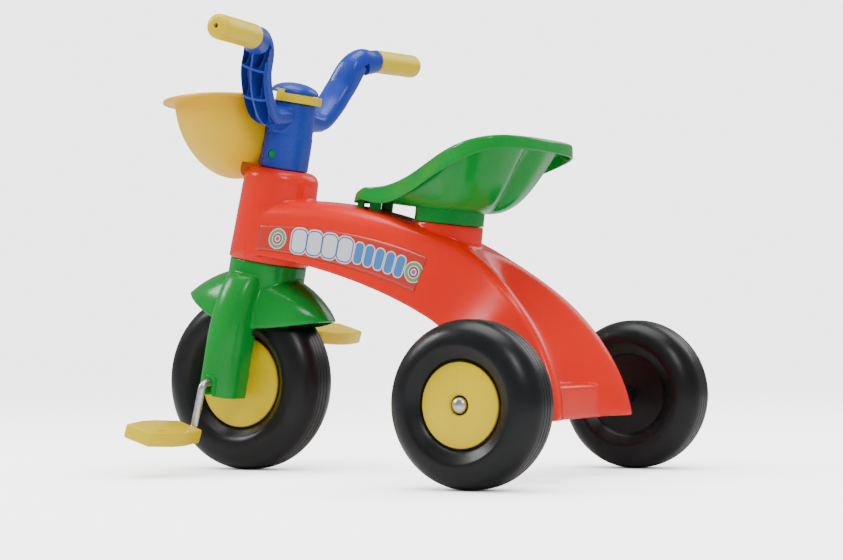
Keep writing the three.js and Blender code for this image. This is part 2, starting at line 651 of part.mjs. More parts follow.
const forkParts = [];
const forkSlots = [];
for (const side of [1, -1]) {
  const along = (solid) => solid.scale([side, 1, 1]);
  const rib = slotPrism(slotHalf + slotRim, legBottom + 1, legInnerX, legOuterX - forkWall + 1);
  const rim = slotPrism(slotHalf + slotRim, legBottom + 2, legOuterX - 4, legOuterX + slotRimProud);
  forkParts.push(along(rib), along(rim));
  forkSlots.push(along(slotPrism(slotHalf, legBottom - 5, legInnerX - 5, legOuterX + 10)));
}
const legsOuter = loft(leg(0)).add(loft(mirrored(leg(0))));
const legsInner = loft(leg(forkWall)).add(loft(mirrored(leg(forkWall))));
const forkShell = joined([crownOuter, legsOuter, visor(0)])
  .subtract(joined([crownInner, legsInner, visor(forkWall)]));
const snapButtons = joined([1, -1].map((side) =>
  rod(snapHoleRadius - touchGap, columnRadius - 2, stemRadiusLow - 1.5, 'x', 12).scale([side, 1, 1])
    .translate([0, 0, snapHoleHeight])));
const forkSolid = joined([forkShell, ...forkParts, column, snapButtons])
  .subtract(wheelRoom)
  .subtract(joined(forkSlots))
  .subtract(rod(columnRadius - columnWall, crownTop - crownPlate - 1, crownTop + 2, 'z', 24));
steering.add(piece('fork', forkSolid, greenPlastic));

// ---- handlebar -------------------------------------------------------------------------------------
const stemBore = columnRadius + touchGap;
const stemBottom = headTop + touchGap;
const armPath = new THREE.CatmullRomCurve3(
  [armRoot, armKnee, armWaist, armElbow, armNeck, gripStart], false, 'centripetal');
const sweep = radians(gripSweep);
const gripDirection = point(Math.cos(sweep), Math.sin(sweep), Math.tan(radians(gripRise))).normalize();

function armFrame(t) {
  const centre = armPath.getPointAt(t);
  const tangent = t > 0.999 ? gripDirection : armPath.getTangentAt(t);
  const aft = point(0, 1, 0).addScaledVector(tangent, -tangent.y).normalize();
  return { centre, aft, inner: aft.clone().cross(tangent).normalize() };
}

// Section of an arm: rounded towards the rider's hands, flat on the ribbed outer side.
function armSection(t) {
  const { centre, aft, inner } = armFrame(t);
  const round = smooth(t, 0.62, 1);
  const half = lerp(armHalfDepth, gripRadius, round);
  const up = lerp(armHalfThickness, gripRadius, round);
  const outline = oval(half, up, lerp(3, 2, round), 14).map(([f, n]) =>
    [f, n < 0 ? lerp(Math.max(n, -armHalfThickness), n, round) : n]);
  return outline.map(([f, n]) => centre.clone().addScaledVector(aft, f).addScaledVector(inner, -n));
}

// One open pocket between the cross ribs, on one side of the middle web.
function armPocket(from, to, side) {
  const outline = [[armWall / 2, -30], [armHalfDepth - armWall, -30],
    [armHalfDepth - armWall, armHalfThickness - armWall - 4], [armWall / 2, armHalfThickness - armWall]];
  return loft([0, 1].map((share) => {
    const { centre, aft, inner } = armFrame(lerp(from, to, share));
    return outline.map(([f, n]) => centre.clone().addScaledVector(aft, side * f).addScaledVector(inner, -n));
  }));
}

const armSteps = Array.from({ length: 11 }, (_, i) => i / 10);
const armLength = armPath.getLength();
const pocketsFrom = 0.2;
const pocketsTo = 0.88;
const arms = [];
const pockets = [];
for (let bay = 0; bay < armBays; bay += 1) {
  const rib = armWall / 2 / armLength;
  const from = lerp(pocketsFrom, pocketsTo, bay / armBays) + rib;
  const to = lerp(pocketsFrom, pocketsTo, (bay + 1) / armBays) - rib;
  for (const side of [1, -1]) {
    const pocket = armPocket(from, to, side);
    pockets.push(pocket, pocket.scale([-1, 1, 1]));
  }
}
const gripAlong = (solid, side) => {
  const turn = new THREE.Quaternion().setFromUnitVectors(point(1, 0, 0), gripDirection);
  const matrix = new THREE.Matrix4().compose(gripStart, turn, point(1, 1, 1));
  if (side < 0) matrix.premultiply(new THREE.Matrix4().makeScale(-1, 1, 1));
  return solid.transform(matrix.elements);
};
for (const side of [1, -1]) {
  const sections = armSteps.map(armSection);
  arms.push(loft(side > 0 ? sections : mirrored(sections)));
  arms.push(gripAlong(rod(gripCoreRadius, -8, gripLength - 6, 'x', 16), side));
}
const stemOuterSolid = turned([[0, stemBottom], [stemRadiusLow, stemBottom], [stemRadiusLow, stemBottom + 36],
  [stemRadiusLow - 0.6, stemBottom + 37], [stemRadiusHigh, stemTop], [0, stemTop]], 'z', 28);
const stemBoreSolid = rod(stemBore, stemBottom - 5, stemTop + 5, 'z', 24);
const snapHoles = rod(snapHoleRadius, -40, 40, 'x', 12).translate([0, 0, snapHoleHeight]);

// The bucket hangs on two screws in the front of the stem.
const bucketScrewHeights = [stemTop - 35.5, stemTop - 13.5];
const bucketScrewHoles = joined(bucketScrewHeights.map((h) =>
  rod(screwClear, -stemRadiusLow - 6, -stemBore + 1, 'y', 10).translate([0, 0, h])));
const handlebarSolid = joined([stemOuterSolid, ...arms]).subtract(joined(pockets))
  .subtract(joined([stemBoreSolid, snapHoles, bucketScrewHoles]));
steering.add(piece('handlebar', handlebarSolid, bluePlastic));

for (const [hand, side] of [['left', 1], ['right', -1]]) {
  const round = 8;
  const end = [0, 45, 90].map((angle) => [gripRadius - round + round * Math.cos(radians(angle)),
    gripLength - round + round * Math.sin(radians(angle))]);
  const inner = gripCoreRadius + touchGap;
  const coreEnd = gripLength - 6 + touchGap;
  const sleeve = turned([[inner, touchGap], [gripRadius, touchGap], ...end, [gripEndHole, gripLength],
    [gripEndHole, coreEnd], [inner, coreEnd]], 'x', 18);
  steering.add(piece(`grip_${hand}`, gripAlong(sleeve, side), yellowPlastic));
}

// Locking clip: a horseshoe between the stem and the cap, with a thumb tab at its front end.
const capNeck = stemBore - touchGap;
const clipBottom = stemTop + touchGap;
const clipInner = capNeck + touchGap;
const clipAngles = Array.from({ length: 17 }, (_, i) => radians(lerp(clipFrom, clipTo, i / 16)));
const ringAt = (radius) => clipAngles.map((angle) => [radius * Math.cos(angle), radius * Math.sin(angle)]);
const clipOutline = [...ringAt(clipRadius), ...ringAt(clipInner).reverse()];
const clipTop = clipBottom + clipThickness;
const clipRing = loft([clipBottom, clipTop].map((z) => clipOutline.map(([x, y]) => point(x, y, z))));
const clipTab = block(point(clipInner + 1, -4, clipBottom + 2), point(clipRadius, 4, clipTop + 4))
  .rotate([0, 0, clipFrom + 10]);
const clipLug = block(point(clipInner, -5, clipBottom), point(clipRadius + 2, 5, clipTop))
  .rotate([0, 0, clipTo - 11]);
steering.add(piece('locking_clip', joined([clipRing, clipLug, clipTab]), yellowPlastic));

// Domed cap over the column, with a neck that the clip grips.
const capBottom = clipTop + touchGap;
const domeArc = [0, 25, 50, 72].map((angle) =>
  [domeRadius * Math.cos(radians(angle)), capBottom + 1.5 + (domeHeight - 1.5) * Math.sin(radians(angle))]);
const capBase = stemTop - 6 + touchGap;
const capSolid = turned([[0, capBase], [capNeck, capBase], [capNeck, capBottom], [domeRadius, capBottom],
  ...domeArc, [0, capBottom + domeHeight]], 'z', 24);
const tabRoom = block(point(clipInner - 1, -4 - touchGap, clipTop),
  point(clipRadius + 5, 4 + touchGap, clipTop + 4 + touchGap)).rotate([0, 0, clipFrom + 10]);
steering.add(piece('column_cap', capSolid.subtract(tabRoom), bluePlastic));

// ---- bucket -----------------------------------------------------------------------------------------
// Bowl with a flat back, hollowed round the stem. Its rim stays level while the stem leans.
const aheadOfAxle = (distance) => frontAxleY - distance;

const bucketRimZ = axisZ(stemTop) + bucketRimRise;

function bucketRing(depth, outward, z) {
  const share = Math.min(1, depth / bucketDepth);
  const swell = (1 - share ** 1.9) ** (1 / 1.9);
  const half = Math.max(3, bucketHalfWidth * swell) + outward;
  const bottomCentre = 18;
  const front = lerp(bottomCentre, bucketFront, swell) + outward;
  const backSwell = (1 - share ** 3.2) ** (1 / 2.1);
  const back = lerp(bottomCentre - 3, bucketBack, backSwell) - outward;
  const widest = lerp(bottomCentre, bucketWidest, swell);
  return oval(1, 1, 2, 28).map(([x, y]) => {
    const square = y < 0 ? 1.25 : 1;
    const across = Math.sign(x) * Math.abs(x) ** (1 / square);
    const ahead = y > 0 ? lerp(widest, front, y) : lerp(widest, back, -y);
    return point(half * across, aheadOfAxle(ahead), z);
  });
}

const bowlDepths = [0, 22, 44, 60, 73, 82, bucketDepth];
const rimUnder = bucketRimZ - rimThickness;
const floorRise = (depth, inset) => (depth > 50 ? inset * (depth / bucketDepth) : 0);
const bowlRings = (inset) =>
  bowlDepths.map((depth) => bucketRing(depth, -inset, bucketRimZ - depth + floorRise(depth, inset)));
const rimRing = loft([
  [rimFlange - 2.5, rimUnder], [rimFlange, rimUnder + 1.5],
  [rimFlange - 1, bucketRimZ - 0.8], [rimFlange - 3.5, bucketRimZ],
].map(([outward, z]) => bucketRing(0, outward, z)));
const stemRoom = (gap) => fromSteering(rod(stemRadiusLow + gap, headTop - 40, stemTop + 40, 'z', 28)
  .add(rod(clipRadius + gap + touchGap, stemTop - touchGap, stemTop + 40, 'z', 28)));
const bucketOuter = joined([loft(bowlRings(0)), rimRing]).subtract(stemRoom(touchGap));
const bucketInner = loft([bucketRing(0, -bucketWall, bucketRimZ + 6), ...bowlRings(bucketWall)])
  .subtract(stemRoom(touchGap + bucketWall));
const bucketHoles = fromSteering(joined(bucketScrewHeights.map((h) =>
  rod(screwClear, -60, -10, 'y', 10).translate([0, 0, h]))));
const headRoom = fromSteering(rod(headRadiusLow + 2, headBottom, headTop + 2, 'z', 28));
const bucketSolid = bucketOuter.subtract(bucketInner).subtract(bucketHoles).subtract(headRoom);
const bucketGroup = new THREE.Group();
bucketGroup.add(piece('bucket', bucketSolid, bucketPlastic));

bucketScrewHeights.forEach((h, i) => {
  const seatFace = -(stemRadiusLow + touchGap + bucketWall + touchGap);
  const head = rod(screwHeadRadius, seatFace - screwHeadHeight - 1, seatFace - 1, 'y', 12);
  const shank = rod(screwRadius, seatFace - 1.5, -stemBore - touchGap, 'y', 10);
  steering.add(piece(`bucket_screw_${i + 1}`, head.add(shank).translate([0, 0, h]), zincSteel));
});

// ---- front wheel, crank and pedals --------------------------------------------------------------------
const frontAxle = new THREE.Group();
frontAxle.position.set(0, frontAxleY, frontWheelRadius);
const frontTyre = wheel('front_wheel', frontWheelRadius, frontWheelHalf, frontDishRadius, frontDishDepth,
  crankRodRadius + touchGap);
frontAxle.add(piece('front_wheel', frontTyre.solid.subtract(frontTyre.vent), blackPlastic));
const frontFloorX = frontWheelHalf - frontDishDepth;
for (const [hand, side] of [['left', 1], ['right', -1]]) {
  const cap = hubCap(frontDishRadius, crankRodRadius + touchGap).scale([side, 1, 1]);
  const capPlace = [side * (frontFloorX + touchGap), 0, 0];
  frontAxle.add(piece(`front_hub_cap_${hand}`, cap.translate(capPlace), yellowPlastic));
}

// One steel rod, bent to a crank on each side of the wheel. Its plane holds the axle.
const crankArmX = legOuterX + crankClear;
const pedalInnerX = crankArmX + crankBend + runGap;
const armDown = point(0, -Math.sin(radians(crankForward)), -Math.cos(radians(crankForward)));
const rodNormal = armDown.clone().cross(point(1, 0, 0));
const pinEndX = pedalInnerX + pedalLength - pedalEndWall - touchGap;

function rodHalf() {
  const corner = (centreX, centreD, from, to) => Array.from({ length: 5 }, (_, i) => {
    const heading = radians(lerp(from, to, i / 4));
    const at = [centreX + crankBend * Math.cos(heading), centreD + crankBend * Math.sin(heading)];
    return { at, heading };
  });
  const first = corner(crankArmX - crankBend, crankBend, -90, 0)
    .map(({ at, heading }) => ({ at, along: [-Math.sin(heading), Math.cos(heading)] }));
  const second = corner(crankArmX + crankBend, crankLength - crankBend, 180, 90)
    .map(({ at, heading }) => ({ at, along: [Math.sin(heading), -Math.cos(heading)] }));
  return [...first, ...second, { at: [pinEndX, crankLength], along: [1, 0] }];
}

function rodRing({ at, along }, side) {
  const centre = point(side * at[0], 0, 0).addScaledVector(armDown, side * at[1]);
  const tangent = point(along[0], 0, 0).addScaledVector(armDown, along[1]).normalize();
  const normal = rodNormal.clone().cross(tangent);
  return Array.from({ length: 12 }, (_, i) => {
    const angle = (2 * Math.PI * i) / 12;
    return centre.clone().addScaledVector(normal, crankRodRadius * Math.cos(angle))
      .addScaledVector(rodNormal, crankRodRadius * Math.sin(angle));
  });
}

const half = rodHalf();
const rightRings = half.map((step) => rodRing(step, -1)).reverse();
const crankRings = [...rightRings, ...half.map((step) => rodRing(step, 1))];
frontAxle.add(piece('crank', loft(crankRings), zincSteel));

function pedal(side) {
  const chamfer = 2;
  const section = (x, width, inset) => {
    const w = width / 2 - inset;
    const t = pedalThickness / 2 - inset;
    const upper = [[w, t - chamfer], [w - chamfer, t], [chamfer - w, t], [-w, t - chamfer]];
    const lower = [[-w, chamfer - t], [chamfer - w, -t], [w - chamfer, -t], [w, chamfer - t]];
    return [...upper, ...lower].map(([y, z]) => point(x, y, z));
  };
  const outerX = pedalInnerX + pedalLength;
  const middleX = pedalInnerX + pedalLength / 2;
  const body = loft([section(pedalInnerX, pedalEndWidth, 1.2), section(pedalInnerX + 1.2, pedalEndWidth, 0),
    section(middleX - 12, pedalMidWidth - 1, 0), section(middleX, pedalMidWidth, 0),
    section(middleX + 12, pedalMidWidth - 1, 0), section(outerX - 1.2, pedalEndWidth, 0),
    section(outerX, pedalEndWidth, 1.2)]);
  const bore = rod(crankRodRadius + runGap, pedalInnerX - 5, pinEndX + touchGap, 'x', 14);
  const slit = block(point(outerX - 18 - slitLength, pedalMidWidth * 0.22, pedalThickness / 2 - 4),
    point(outerX - 18, pedalMidWidth * 0.22 + slitWidth, pedalThickness));
  return body.subtract(bore).subtract(slit).rotate([-pedalTilt, 0, 0]).scale([side, 1, 1]);
}

for (const [hand, side] of [['left', 1], ['right', -1]]) {
  const pin = armDown.clone().multiplyScalar(side * crankLength);
  frontAxle.add(piece(`pedal_${hand}`, pedal(side).translate(pin.toArray()), yellowPlastic));
}

const tricycle = new THREE.Group();
tricycle.add(mainFrame, label('left', 1), label('right', -1), seatGroup, rearAxle);
tricycle.add(steering, bucketGroup, frontAxle);
export default tricycle;
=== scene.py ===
import json
import math
import bmesh
import bpy
import numpy as np
from mathutils import Matrix, Vector


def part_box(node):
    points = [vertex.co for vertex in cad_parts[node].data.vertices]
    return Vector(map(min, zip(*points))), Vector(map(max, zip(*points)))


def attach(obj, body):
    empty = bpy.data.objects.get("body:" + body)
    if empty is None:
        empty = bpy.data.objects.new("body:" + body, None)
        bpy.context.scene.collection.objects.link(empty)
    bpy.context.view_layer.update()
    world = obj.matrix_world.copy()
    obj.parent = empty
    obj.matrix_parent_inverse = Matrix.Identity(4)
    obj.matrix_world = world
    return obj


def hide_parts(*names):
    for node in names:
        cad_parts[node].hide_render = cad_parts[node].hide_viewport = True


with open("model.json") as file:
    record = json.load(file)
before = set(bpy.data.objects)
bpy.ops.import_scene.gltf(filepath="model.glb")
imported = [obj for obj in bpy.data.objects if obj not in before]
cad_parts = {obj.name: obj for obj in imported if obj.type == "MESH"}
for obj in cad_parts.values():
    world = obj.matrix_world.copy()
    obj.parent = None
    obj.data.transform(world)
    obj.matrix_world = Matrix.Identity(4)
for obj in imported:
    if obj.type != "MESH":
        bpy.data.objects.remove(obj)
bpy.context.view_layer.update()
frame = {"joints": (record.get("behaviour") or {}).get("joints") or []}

# ==== Rear wheels ================================================================================
# Two hollow wheels blow-moulded in black plastic, with a dished side that takes the hub cap.
# They turn loose on the steel axle. Three fine grooves run round the tread.


def soft_corners(corners):
    """A closed outline of (radius, along, fillet) corners, with each corner rounded by its fillet."""
    outline = []
    for i, (r, a, fillet) in enumerate(corners):
        here = np.array([r, a])
        if fillet == 0:
            outline.append(tuple(here))
            continue
        back = np.array(corners[i - 1][:2]) - here
        ahead = np.array(corners[(i + 1) % len(corners)][:2]) - here
        first = here + back * min(0.48, fillet / np.linalg.norm(back))
        last = here + ahead * min(0.48, fillet / np.linalg.norm(ahead))
        for s in np.linspace(0, 1, 6):
            outline.append(tuple((1 - s) ** 2 * first + 2 * s * (1 - s) * here + s ** 2 * last))
    return outline


def shade(obj, crease=38):
    obj.data.shade_smooth()
    obj.data.set_sharp_from_angle(angle=math.radians(crease))
    return obj


def body_from(name, points, faces, crease=38):
    mesh = bpy.data.meshes.new(name)
    mesh.from_pydata([tuple(float(c) for c in p) for p in points], [], faces)
    skin = bmesh.new()
    skin.from_mesh(mesh)
    bmesh.ops.recalc_face_normals(skin, faces=skin.faces)
    skin.to_mesh(mesh)
    skin.free()
    obj = bpy.data.objects.new(name, mesh)
    bpy.context.scene.collection.objects.link(obj)
    return shade(obj, crease)


def turned(name, outline, sides=128, crease=38):
    """Turns an outline of (radius, along X) about X. An outline that starts on the axis ends on it."""
    turns = np.linspace(0, 2 * math.pi, sides, endpoint=False)
    points, rings = [], []
    for r, a in outline:
        if r < 1e-7:
            rings.append([len(points)] * sides)
            points.append((a, 0, 0))
        else:
            rings.append(list(range(len(points), len(points) + sides)))
            points += [(a, r * math.cos(t), r * math.sin(t)) for t in turns]
    loops = zip(rings, rings[1:] + ([rings[0]] if outline[0][0] > 1e-7 else []))
    faces = []
    for low, high in loops:
        for j in range(sides):
            k = (j + 1) % sides
            corners = list(dict.fromkeys([low[j], low[k], high[k], high[j]]))
            if len(corners) > 2:
                faces.append(corners)
    return body_from(name, points, faces, crease)


def placed(obj, matrix):
    obj.data.transform(matrix)
    if matrix.determinant() < 0:
        obj.data.flip_normals()
    return obj


def moulded_plastic(name, pale, deep, low_gloss, high_gloss, clouds=22, grain=1400, relief=0.12):
    """Coloured plastic: faint clouds in the colour and the gloss, fine scuffs, and an orange-peel skin."""
    material = bpy.data.materials.new(name)
    material.use_nodes = True
    nodes, links = material.node_tree.nodes, material.node_tree.links
    shader = nodes["Principled BSDF"]
    shader.inputs["Specular IOR Level"].default_value = 0.3
    place = nodes.new("ShaderNodeTexCoord").outputs["Object"]

    def noise(scale, detail, roughness=0.5):
        made = nodes.new("ShaderNodeTexNoise")
        made.inputs["Scale"].default_value = scale
        made.inputs["Detail"].default_value = detail
        made.inputs["Roughness"].default_value = roughness
        links.new(place, made.inputs["Vector"])
        return made.outputs["Fac"]

    tint = nodes.new("ShaderNodeValToRGB")
    tint.color_ramp.elements[0].position = 0.36
    tint.color_ramp.elements[0].color = (*deep, 1)
    tint.color_ramp.elements[1].position = 0.62
    tint.color_ramp.elements[1].color = (*pale, 1)
    links.new(noise(clouds, 4), tint.inputs["Fac"])
    links.new(tint.outputs["Color"], shader.inputs["Base Color"])

    gloss = nodes.new("ShaderNodeMapRange")
    gloss.inputs["From Min"].default_value = 0.3
    gloss.inputs["From Max"].default_value = 0.7
    gloss.inputs["To Min"].default_value = low_gloss
    gloss.inputs["To Max"].default_value = high_gloss
    links.new(noise(clouds * 2.3, 6, 0.65), gloss.inputs["Value"])
    links.new(gloss.outputs["Result"], shader.inputs["Roughness"])

    peel = nodes.new("ShaderNodeBump")
    peel.inputs["Strength"].default_value = relief
    peel.inputs["Distance"].default_value = 0.0003
    links.new(noise(grain, 2), peel.inputs["Height"])
    wave = nodes.new("ShaderNodeBump")
    wave.inputs["Strength"].default_value = relief
    wave.inputs["Distance"].default_value = 0.0006
    links.new(noise(55, 1), wave.inputs["Height"])
    links.new(peel.outputs["Normal"], wave.inputs["Normal"])
    links.new(wave.outputs["Normal"], shader.inputs["Normal"])
    return material


tyre_black = moulded_plastic("tyre_black", (0.0075, 0.008, 0.0095), (0.004, 0.0043, 0.0052), 0.27, 0.4,
                             clouds=14, grain=900, relief=0.2)
mm = 0.001                        # sizes below are written in millimetres


def wheel_outline(radius, half, dish_radius, dish_depth, bore, grooves):
    shoulder = 24 * mm
    floor = half - dish_depth
    arc = [(radius - shoulder * (1 - math.cos(t)), half - shoulder * (1 - math.sin(t)))
           for t in np.linspace(0, math.pi / 2, 18)]
    wall = soft_corners([(radius - shoulder, half, 0), (dish_radius + 13 * mm, half - 0.4 * mm, 5 * mm),
                         (dish_radius + 2.5 * mm, floor + 3 * mm, 4 * mm),
                         (dish_radius + 1 * mm, floor, 1 * mm), (bore + 1.2 * mm, floor, 0),
                         (bore, floor - 1.2 * mm, 0)])
    side = arc[1:] + wall[1:]
    tread = []
    for x in grooves:
        tread += [(radius, x - 0.7 * mm), (radius - 0.5 * mm, x - 0.3 * mm),
                  (radius - 0.5 * mm, x + 0.3 * mm), (radius, x + 0.7 * mm)]
    return [(r, -a) for r, a in reversed(side)] + tread + side


rear_low, rear_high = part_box("rear_wheel_left")
rear_y = (rear_low.y + rear_high.y) / 2
rear_radius = (rear_high.y - rear_low.y) / 2
rear_x = (rear_low.x + rear_high.x) / 2
rear_half = (rear_high.x - rear_low.x) / 2
rear_dish = (41 * mm, 10.4 * mm)
axle_radius = 5 * mm
for hand, side in (("left", 1), ("right", -1)):
    wheel = turned(f"rear_wheel_{hand}_moulding",
                   wheel_outline(rear_radius, rear_half, *rear_dish, axle_radius + 0.3 * mm,
                                 (-5.5 * mm, 0, 5.5 * mm)), 160, 30)
    placed(wheel, Matrix.Translation((side * rear_x, rear_y, rear_radius)))
    wheel.data.materials.append(tyre_black)
    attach(wheel, f"rear_{hand}_wheel_set")
    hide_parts(f"rear_wheel_{hand}")

# ==== Rear hub caps ===============================================================================
# Domed discs moulded in yellow plastic, pressed into the dish of each wheel. The middle is sunk
# round the end of the axle.
hub_yellow = moulded_plastic("hub_yellow", (0.9, 0.66, 0.0), (0.84, 0.6, 0.0), 0.24, 0.36, relief=0.1)


def hub_cap_outline(radius, hole, rise, sunk):
    return soft_corners([(hole, 0, 0), (radius, 0, 0), (radius, 2.6 * mm, 1.2 * mm),
                         (radius * 0.8, 2.6 * mm + rise * 0.55, 6 * mm),
                         (hole + 4.5 * mm, 2.6 * mm + rise, 3 * mm),
                         (hole + 2.2 * mm, 2.6 * mm + rise, 0.8 * mm),
                         (hole, 2.6 * mm + rise - sunk, 0.5 * mm)])


rear_floor = rear_x + rear_half - rear_dish[1]
for hand, side in (("left", 1), ("right", -1)):
    disc = turned(f"rear_hub_cap_{hand}_disc",
                  hub_cap_outline(rear_dish[0] - 0.7 * mm, 9.4 * mm, 2.6 * mm, 2.6 * mm), 120, 40)
    placed(disc, Matrix.Translation((side * (rear_floor + 0.3 * mm), rear_y, rear_radius))
           @ Matrix.Diagonal((side, 1, 1, 1)))
    disc.data.materials.append(hub_yellow)
    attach(disc, f"rear_{hand}_wheel_set")
    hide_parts(f"rear_hub_cap_{hand}")

# ==== Rear axle, its caps and spacers =============================================================
# A zinc-plated steel rod through the body. A spring cap is driven onto each end to hold the wheel,
# and a plastic tube keeps each wheel off the body.


def plated_steel(name, bright, dull, stretch):
    """Zinc plate: drawn streaks along one direction and a mottled grey bloom."""
    material = bpy.data.materials.new(name)
    material.use_nodes = True
    nodes, links = material.node_tree.nodes, material.node_tree.links
    shader = nodes["Principled BSDF"]
    shader.inputs["Metallic"].default_value = 1
    place = nodes.new("ShaderNodeTexCoord").outputs["Object"]
    drawn = nodes.new("ShaderNodeMapping")
    drawn.inputs["Scale"].default_value = stretch
    links.new(place, drawn.inputs["Vector"])
    streaks = nodes.new("ShaderNodeTexNoise")
    streaks.inputs["Scale"].default_value = 260
    streaks.inputs["Detail"].default_value = 5
    links.new(drawn.outputs["Vector"], streaks.inputs["Vector"])
    bloom = nodes.new("ShaderNodeTexVoronoi")
    bloom.inputs["Scale"].default_value = 240
    links.new(place, bloom.inputs["Vector"])
    both = nodes.new("ShaderNodeMath")
    both.operation = "MULTIPLY_ADD"
    both.inputs[1].default_value = 0.35
    links.new(bloom.outputs["Distance"], both.inputs[0])
    links.new(streaks.outputs["Fac"], both.inputs[2])
    tint = nodes.new("ShaderNodeValToRGB")
    tint.color_ramp.elements[0].position = 0.35
    tint.color_ramp.elements[0].color = (*dull, 1)
    tint.color_ramp.elements[1].position = 0.8
    tint.color_ramp.elements[1].color = (*bright, 1)
    links.new(both.outputs["Value"], tint.inputs["Fac"])
    links.new(tint.outputs["Color"], shader.inputs["Base Color"])
    gloss = nodes.new("ShaderNodeMapRange")
    gloss.inputs["To Min"].default_value = 0.2
    gloss.inputs["To Max"].default_value = 0.42
    links.new(streaks.outputs["Fac"], gloss.inputs["Value"])
    links.new(gloss.outputs["Result"], shader.inputs["Roughness"])
    bump = nodes.new("ShaderNodeBump")
    bump.inputs["Strength"].default_value = 0.15
    bump.inputs["Distance"].default_value = 0.0001
    links.new(streaks.outputs["Fac"], bump.inputs["Height"])
    links.new(bump.outputs["Normal"], shader.inputs["Normal"])
    return material


axle_steel = plated_steel("axle_steel", (0.66, 0.67, 0.68), (0.4, 0.41, 0.42), (0.08, 1, 1))
axle_low, axle_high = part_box("rear_axle")
axle = turned("rear_axle_rod", soft_corners([(0, axle_low.x, 0), (axle_radius, axle_low.x, 0.8 * mm),
                                             (axle_radius, axle_high.x, 0.8 * mm), (0, axle_high.x, 0)]), 48)
placed(axle, Matrix.Translation((0, rear_y, rear_radius)))
axle.data.materials.append(axle_steel)
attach(axle, "frame")
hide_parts("rear_axle")

for hand, side in (("left", 1), ("right", -1)):
    dome = [(7.8 * mm * math.cos(t), 2 * mm + 5.4 * mm * math.sin(t))
            for t in np.linspace(0, math.pi / 2, 14)]
    dome[-1] = (0, dome[-1][1])
    skirt = [(0, 4.8 * mm), (5.3 * mm, 4.8 * mm), (5.3 * mm, 0.3 * mm), (7.8 * mm, 0.3 * mm)]
    cap = turned(f"axle_cap_{hand}_dome", skirt + dome, 64)
    mirror = Matrix.Diagonal((side, 1, 1, 1))
    placed(cap, Matrix.Translation((side * rear_floor, rear_y, rear_radius)) @ mirror)
    cap.data.materials.append(axle_steel)
    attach(cap, "frame")
    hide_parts(f"axle_cap_{hand}")

    low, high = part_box(f"axle_spacer_{hand}")
    spacer = turned(f"axle_spacer_{hand}_tube",
                    [(5.3 * mm, low.x), (8.6 * mm, low.x), (9 * mm, low.x + 0.4 * mm),
                     (9 * mm, high.x - 0.4 * mm), (8.6 * mm, high.x), (5.3 * mm, high.x)], 64)
    placed(spacer, Matrix.Translation((0, rear_y, rear_radius)))
    spacer.data.materials.append(tyre_black)
    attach(spacer, "frame")
    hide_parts(f"axle_spacer_{hand}")

# ==== Body ========================================================================================
# One arched shell moulded in red plastic, open underneath. It runs from the steering head over the
# beam and splits into two rails that end round the rear axle. The moulding has soft corners all over.
steer = next(j for j in frame["joints"] if j["name"] == "steer")
steer_axis = Vector(steer["axis"]).normalized()
rake = math.atan2(steer_axis.y, steer_axis.z)
front_low, front_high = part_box("front_wheel")
front_radius = (front_high.z - front_low.z) / 2
front_y = (front_low.y + front_high.y) / 2
# Takes places along the steering axis, measured from the front axle, to the row frame.
from_steering = Matrix.Translation((0, front_y, front_radius)) @ Matrix.Rotation(-rake, 4, "X")

head_bottom = front_radius + 37 * mm
head_top = head_bottom + 102 * mm
body_wall = 3 * mm
column_room = 20.3 * mm            # the column runs in this bore
skirt_z = 61 * mm


def axis_z(along):
    return front_radius + along * math.cos(rake)


def on_axis(z):
    return front_y + (z - front_radius) * math.tan(rake)


def step(value, start, end):
    s = min(1, max(0, (value - start) / (end - start)))
    return s * s * (3 - 2 * s)


def between(a, b, share):
    return a + (b - a) * share


def arch_place(start, end, fore, aft, t):
    turn = t * math.pi / 2
    return np.array([0, between(start[0], end[0], math.sin(turn) ** (2 / fore)),
                     between(end[1], start[1], max(0, math.cos(turn)) ** (2 / aft))])


crest_top = axis_z(head_top) - 34.5 * mm
edge_top = axis_z(head_bottom) + 5.5 * mm
crest_start, crest_end = (on_axis(crest_top), crest_top), (rear_y + 41 * mm, skirt_z)
edge_start, edge_end = (on_axis(edge_top), edge_top), (rear_y - 45 * mm, skirt_z)


def crest_at(t):
    return arch_place(crest_start, crest_end, 2.1, 1.8, t)


def edge_at(t):
    return arch_place(edge_start, edge_end, 1.35, 2, t ** 0.64)


def crest_height(y):
    along = (y - crest_start[0]) / (crest_end[0] - crest_start[0])
    return between(crest_end[1], crest_start[1], (1 - along ** 2.1) ** (1 / 1.8))


def side_at(t):
    opening = (max(0, t - 0.44) / 0.56) ** 0.75
    return between(42.5, between(42.5, 91, opening), step(t, 0.4, 0.66)) * mm


def corner_at(t):
    return between(20, 7, step(t, 0.1, 0.7)) * mm


def channel_at(t):
    return 38 * mm * (0.7 * step(t, 0.42, 0.62) + 0.3 * step(t, 0.6, 1))


def arch_ring(t, wall, below):
    """A section of the arch: lower edge, side wall, rounded rail, and the channel between the rails."""
    low = edge_at(t)
    up = crest_at(t) - low
    height = np.linalg.norm(up)
    up /= height
    radius = max(1.5 * mm, corner_at(t) - wall)
    side = side_at(t) - wall
    crown = 2.5 * mm * (1 - step(t, 0.3, 0.44))
    top = height - wall - crown
    half = [(side + 2 * mm, -below)]
    half += [(side + 2 * mm * (1 - s), (top - radius) * s) for s in (0.25, 0.5, 0.75, 1)]
    half += [(side - radius * (1 - math.cos(a)), top - radius * (1 - math.sin(a)))
             for a in np.linspace(0, math.pi / 2, 10)[1:]]
    dip = channel_at(t) - crown
    half += [((side - radius) * s, top - dip * (1 + math.cos(math.pi * s)) / 2)
             for s in np.linspace(1, 0, 19)[1:]]
    whole = half + [(-x, v) for x, v in reversed(half[:-1])]
    return [low + up * v + np.array([x, 0, 0]) for x, v in whole]


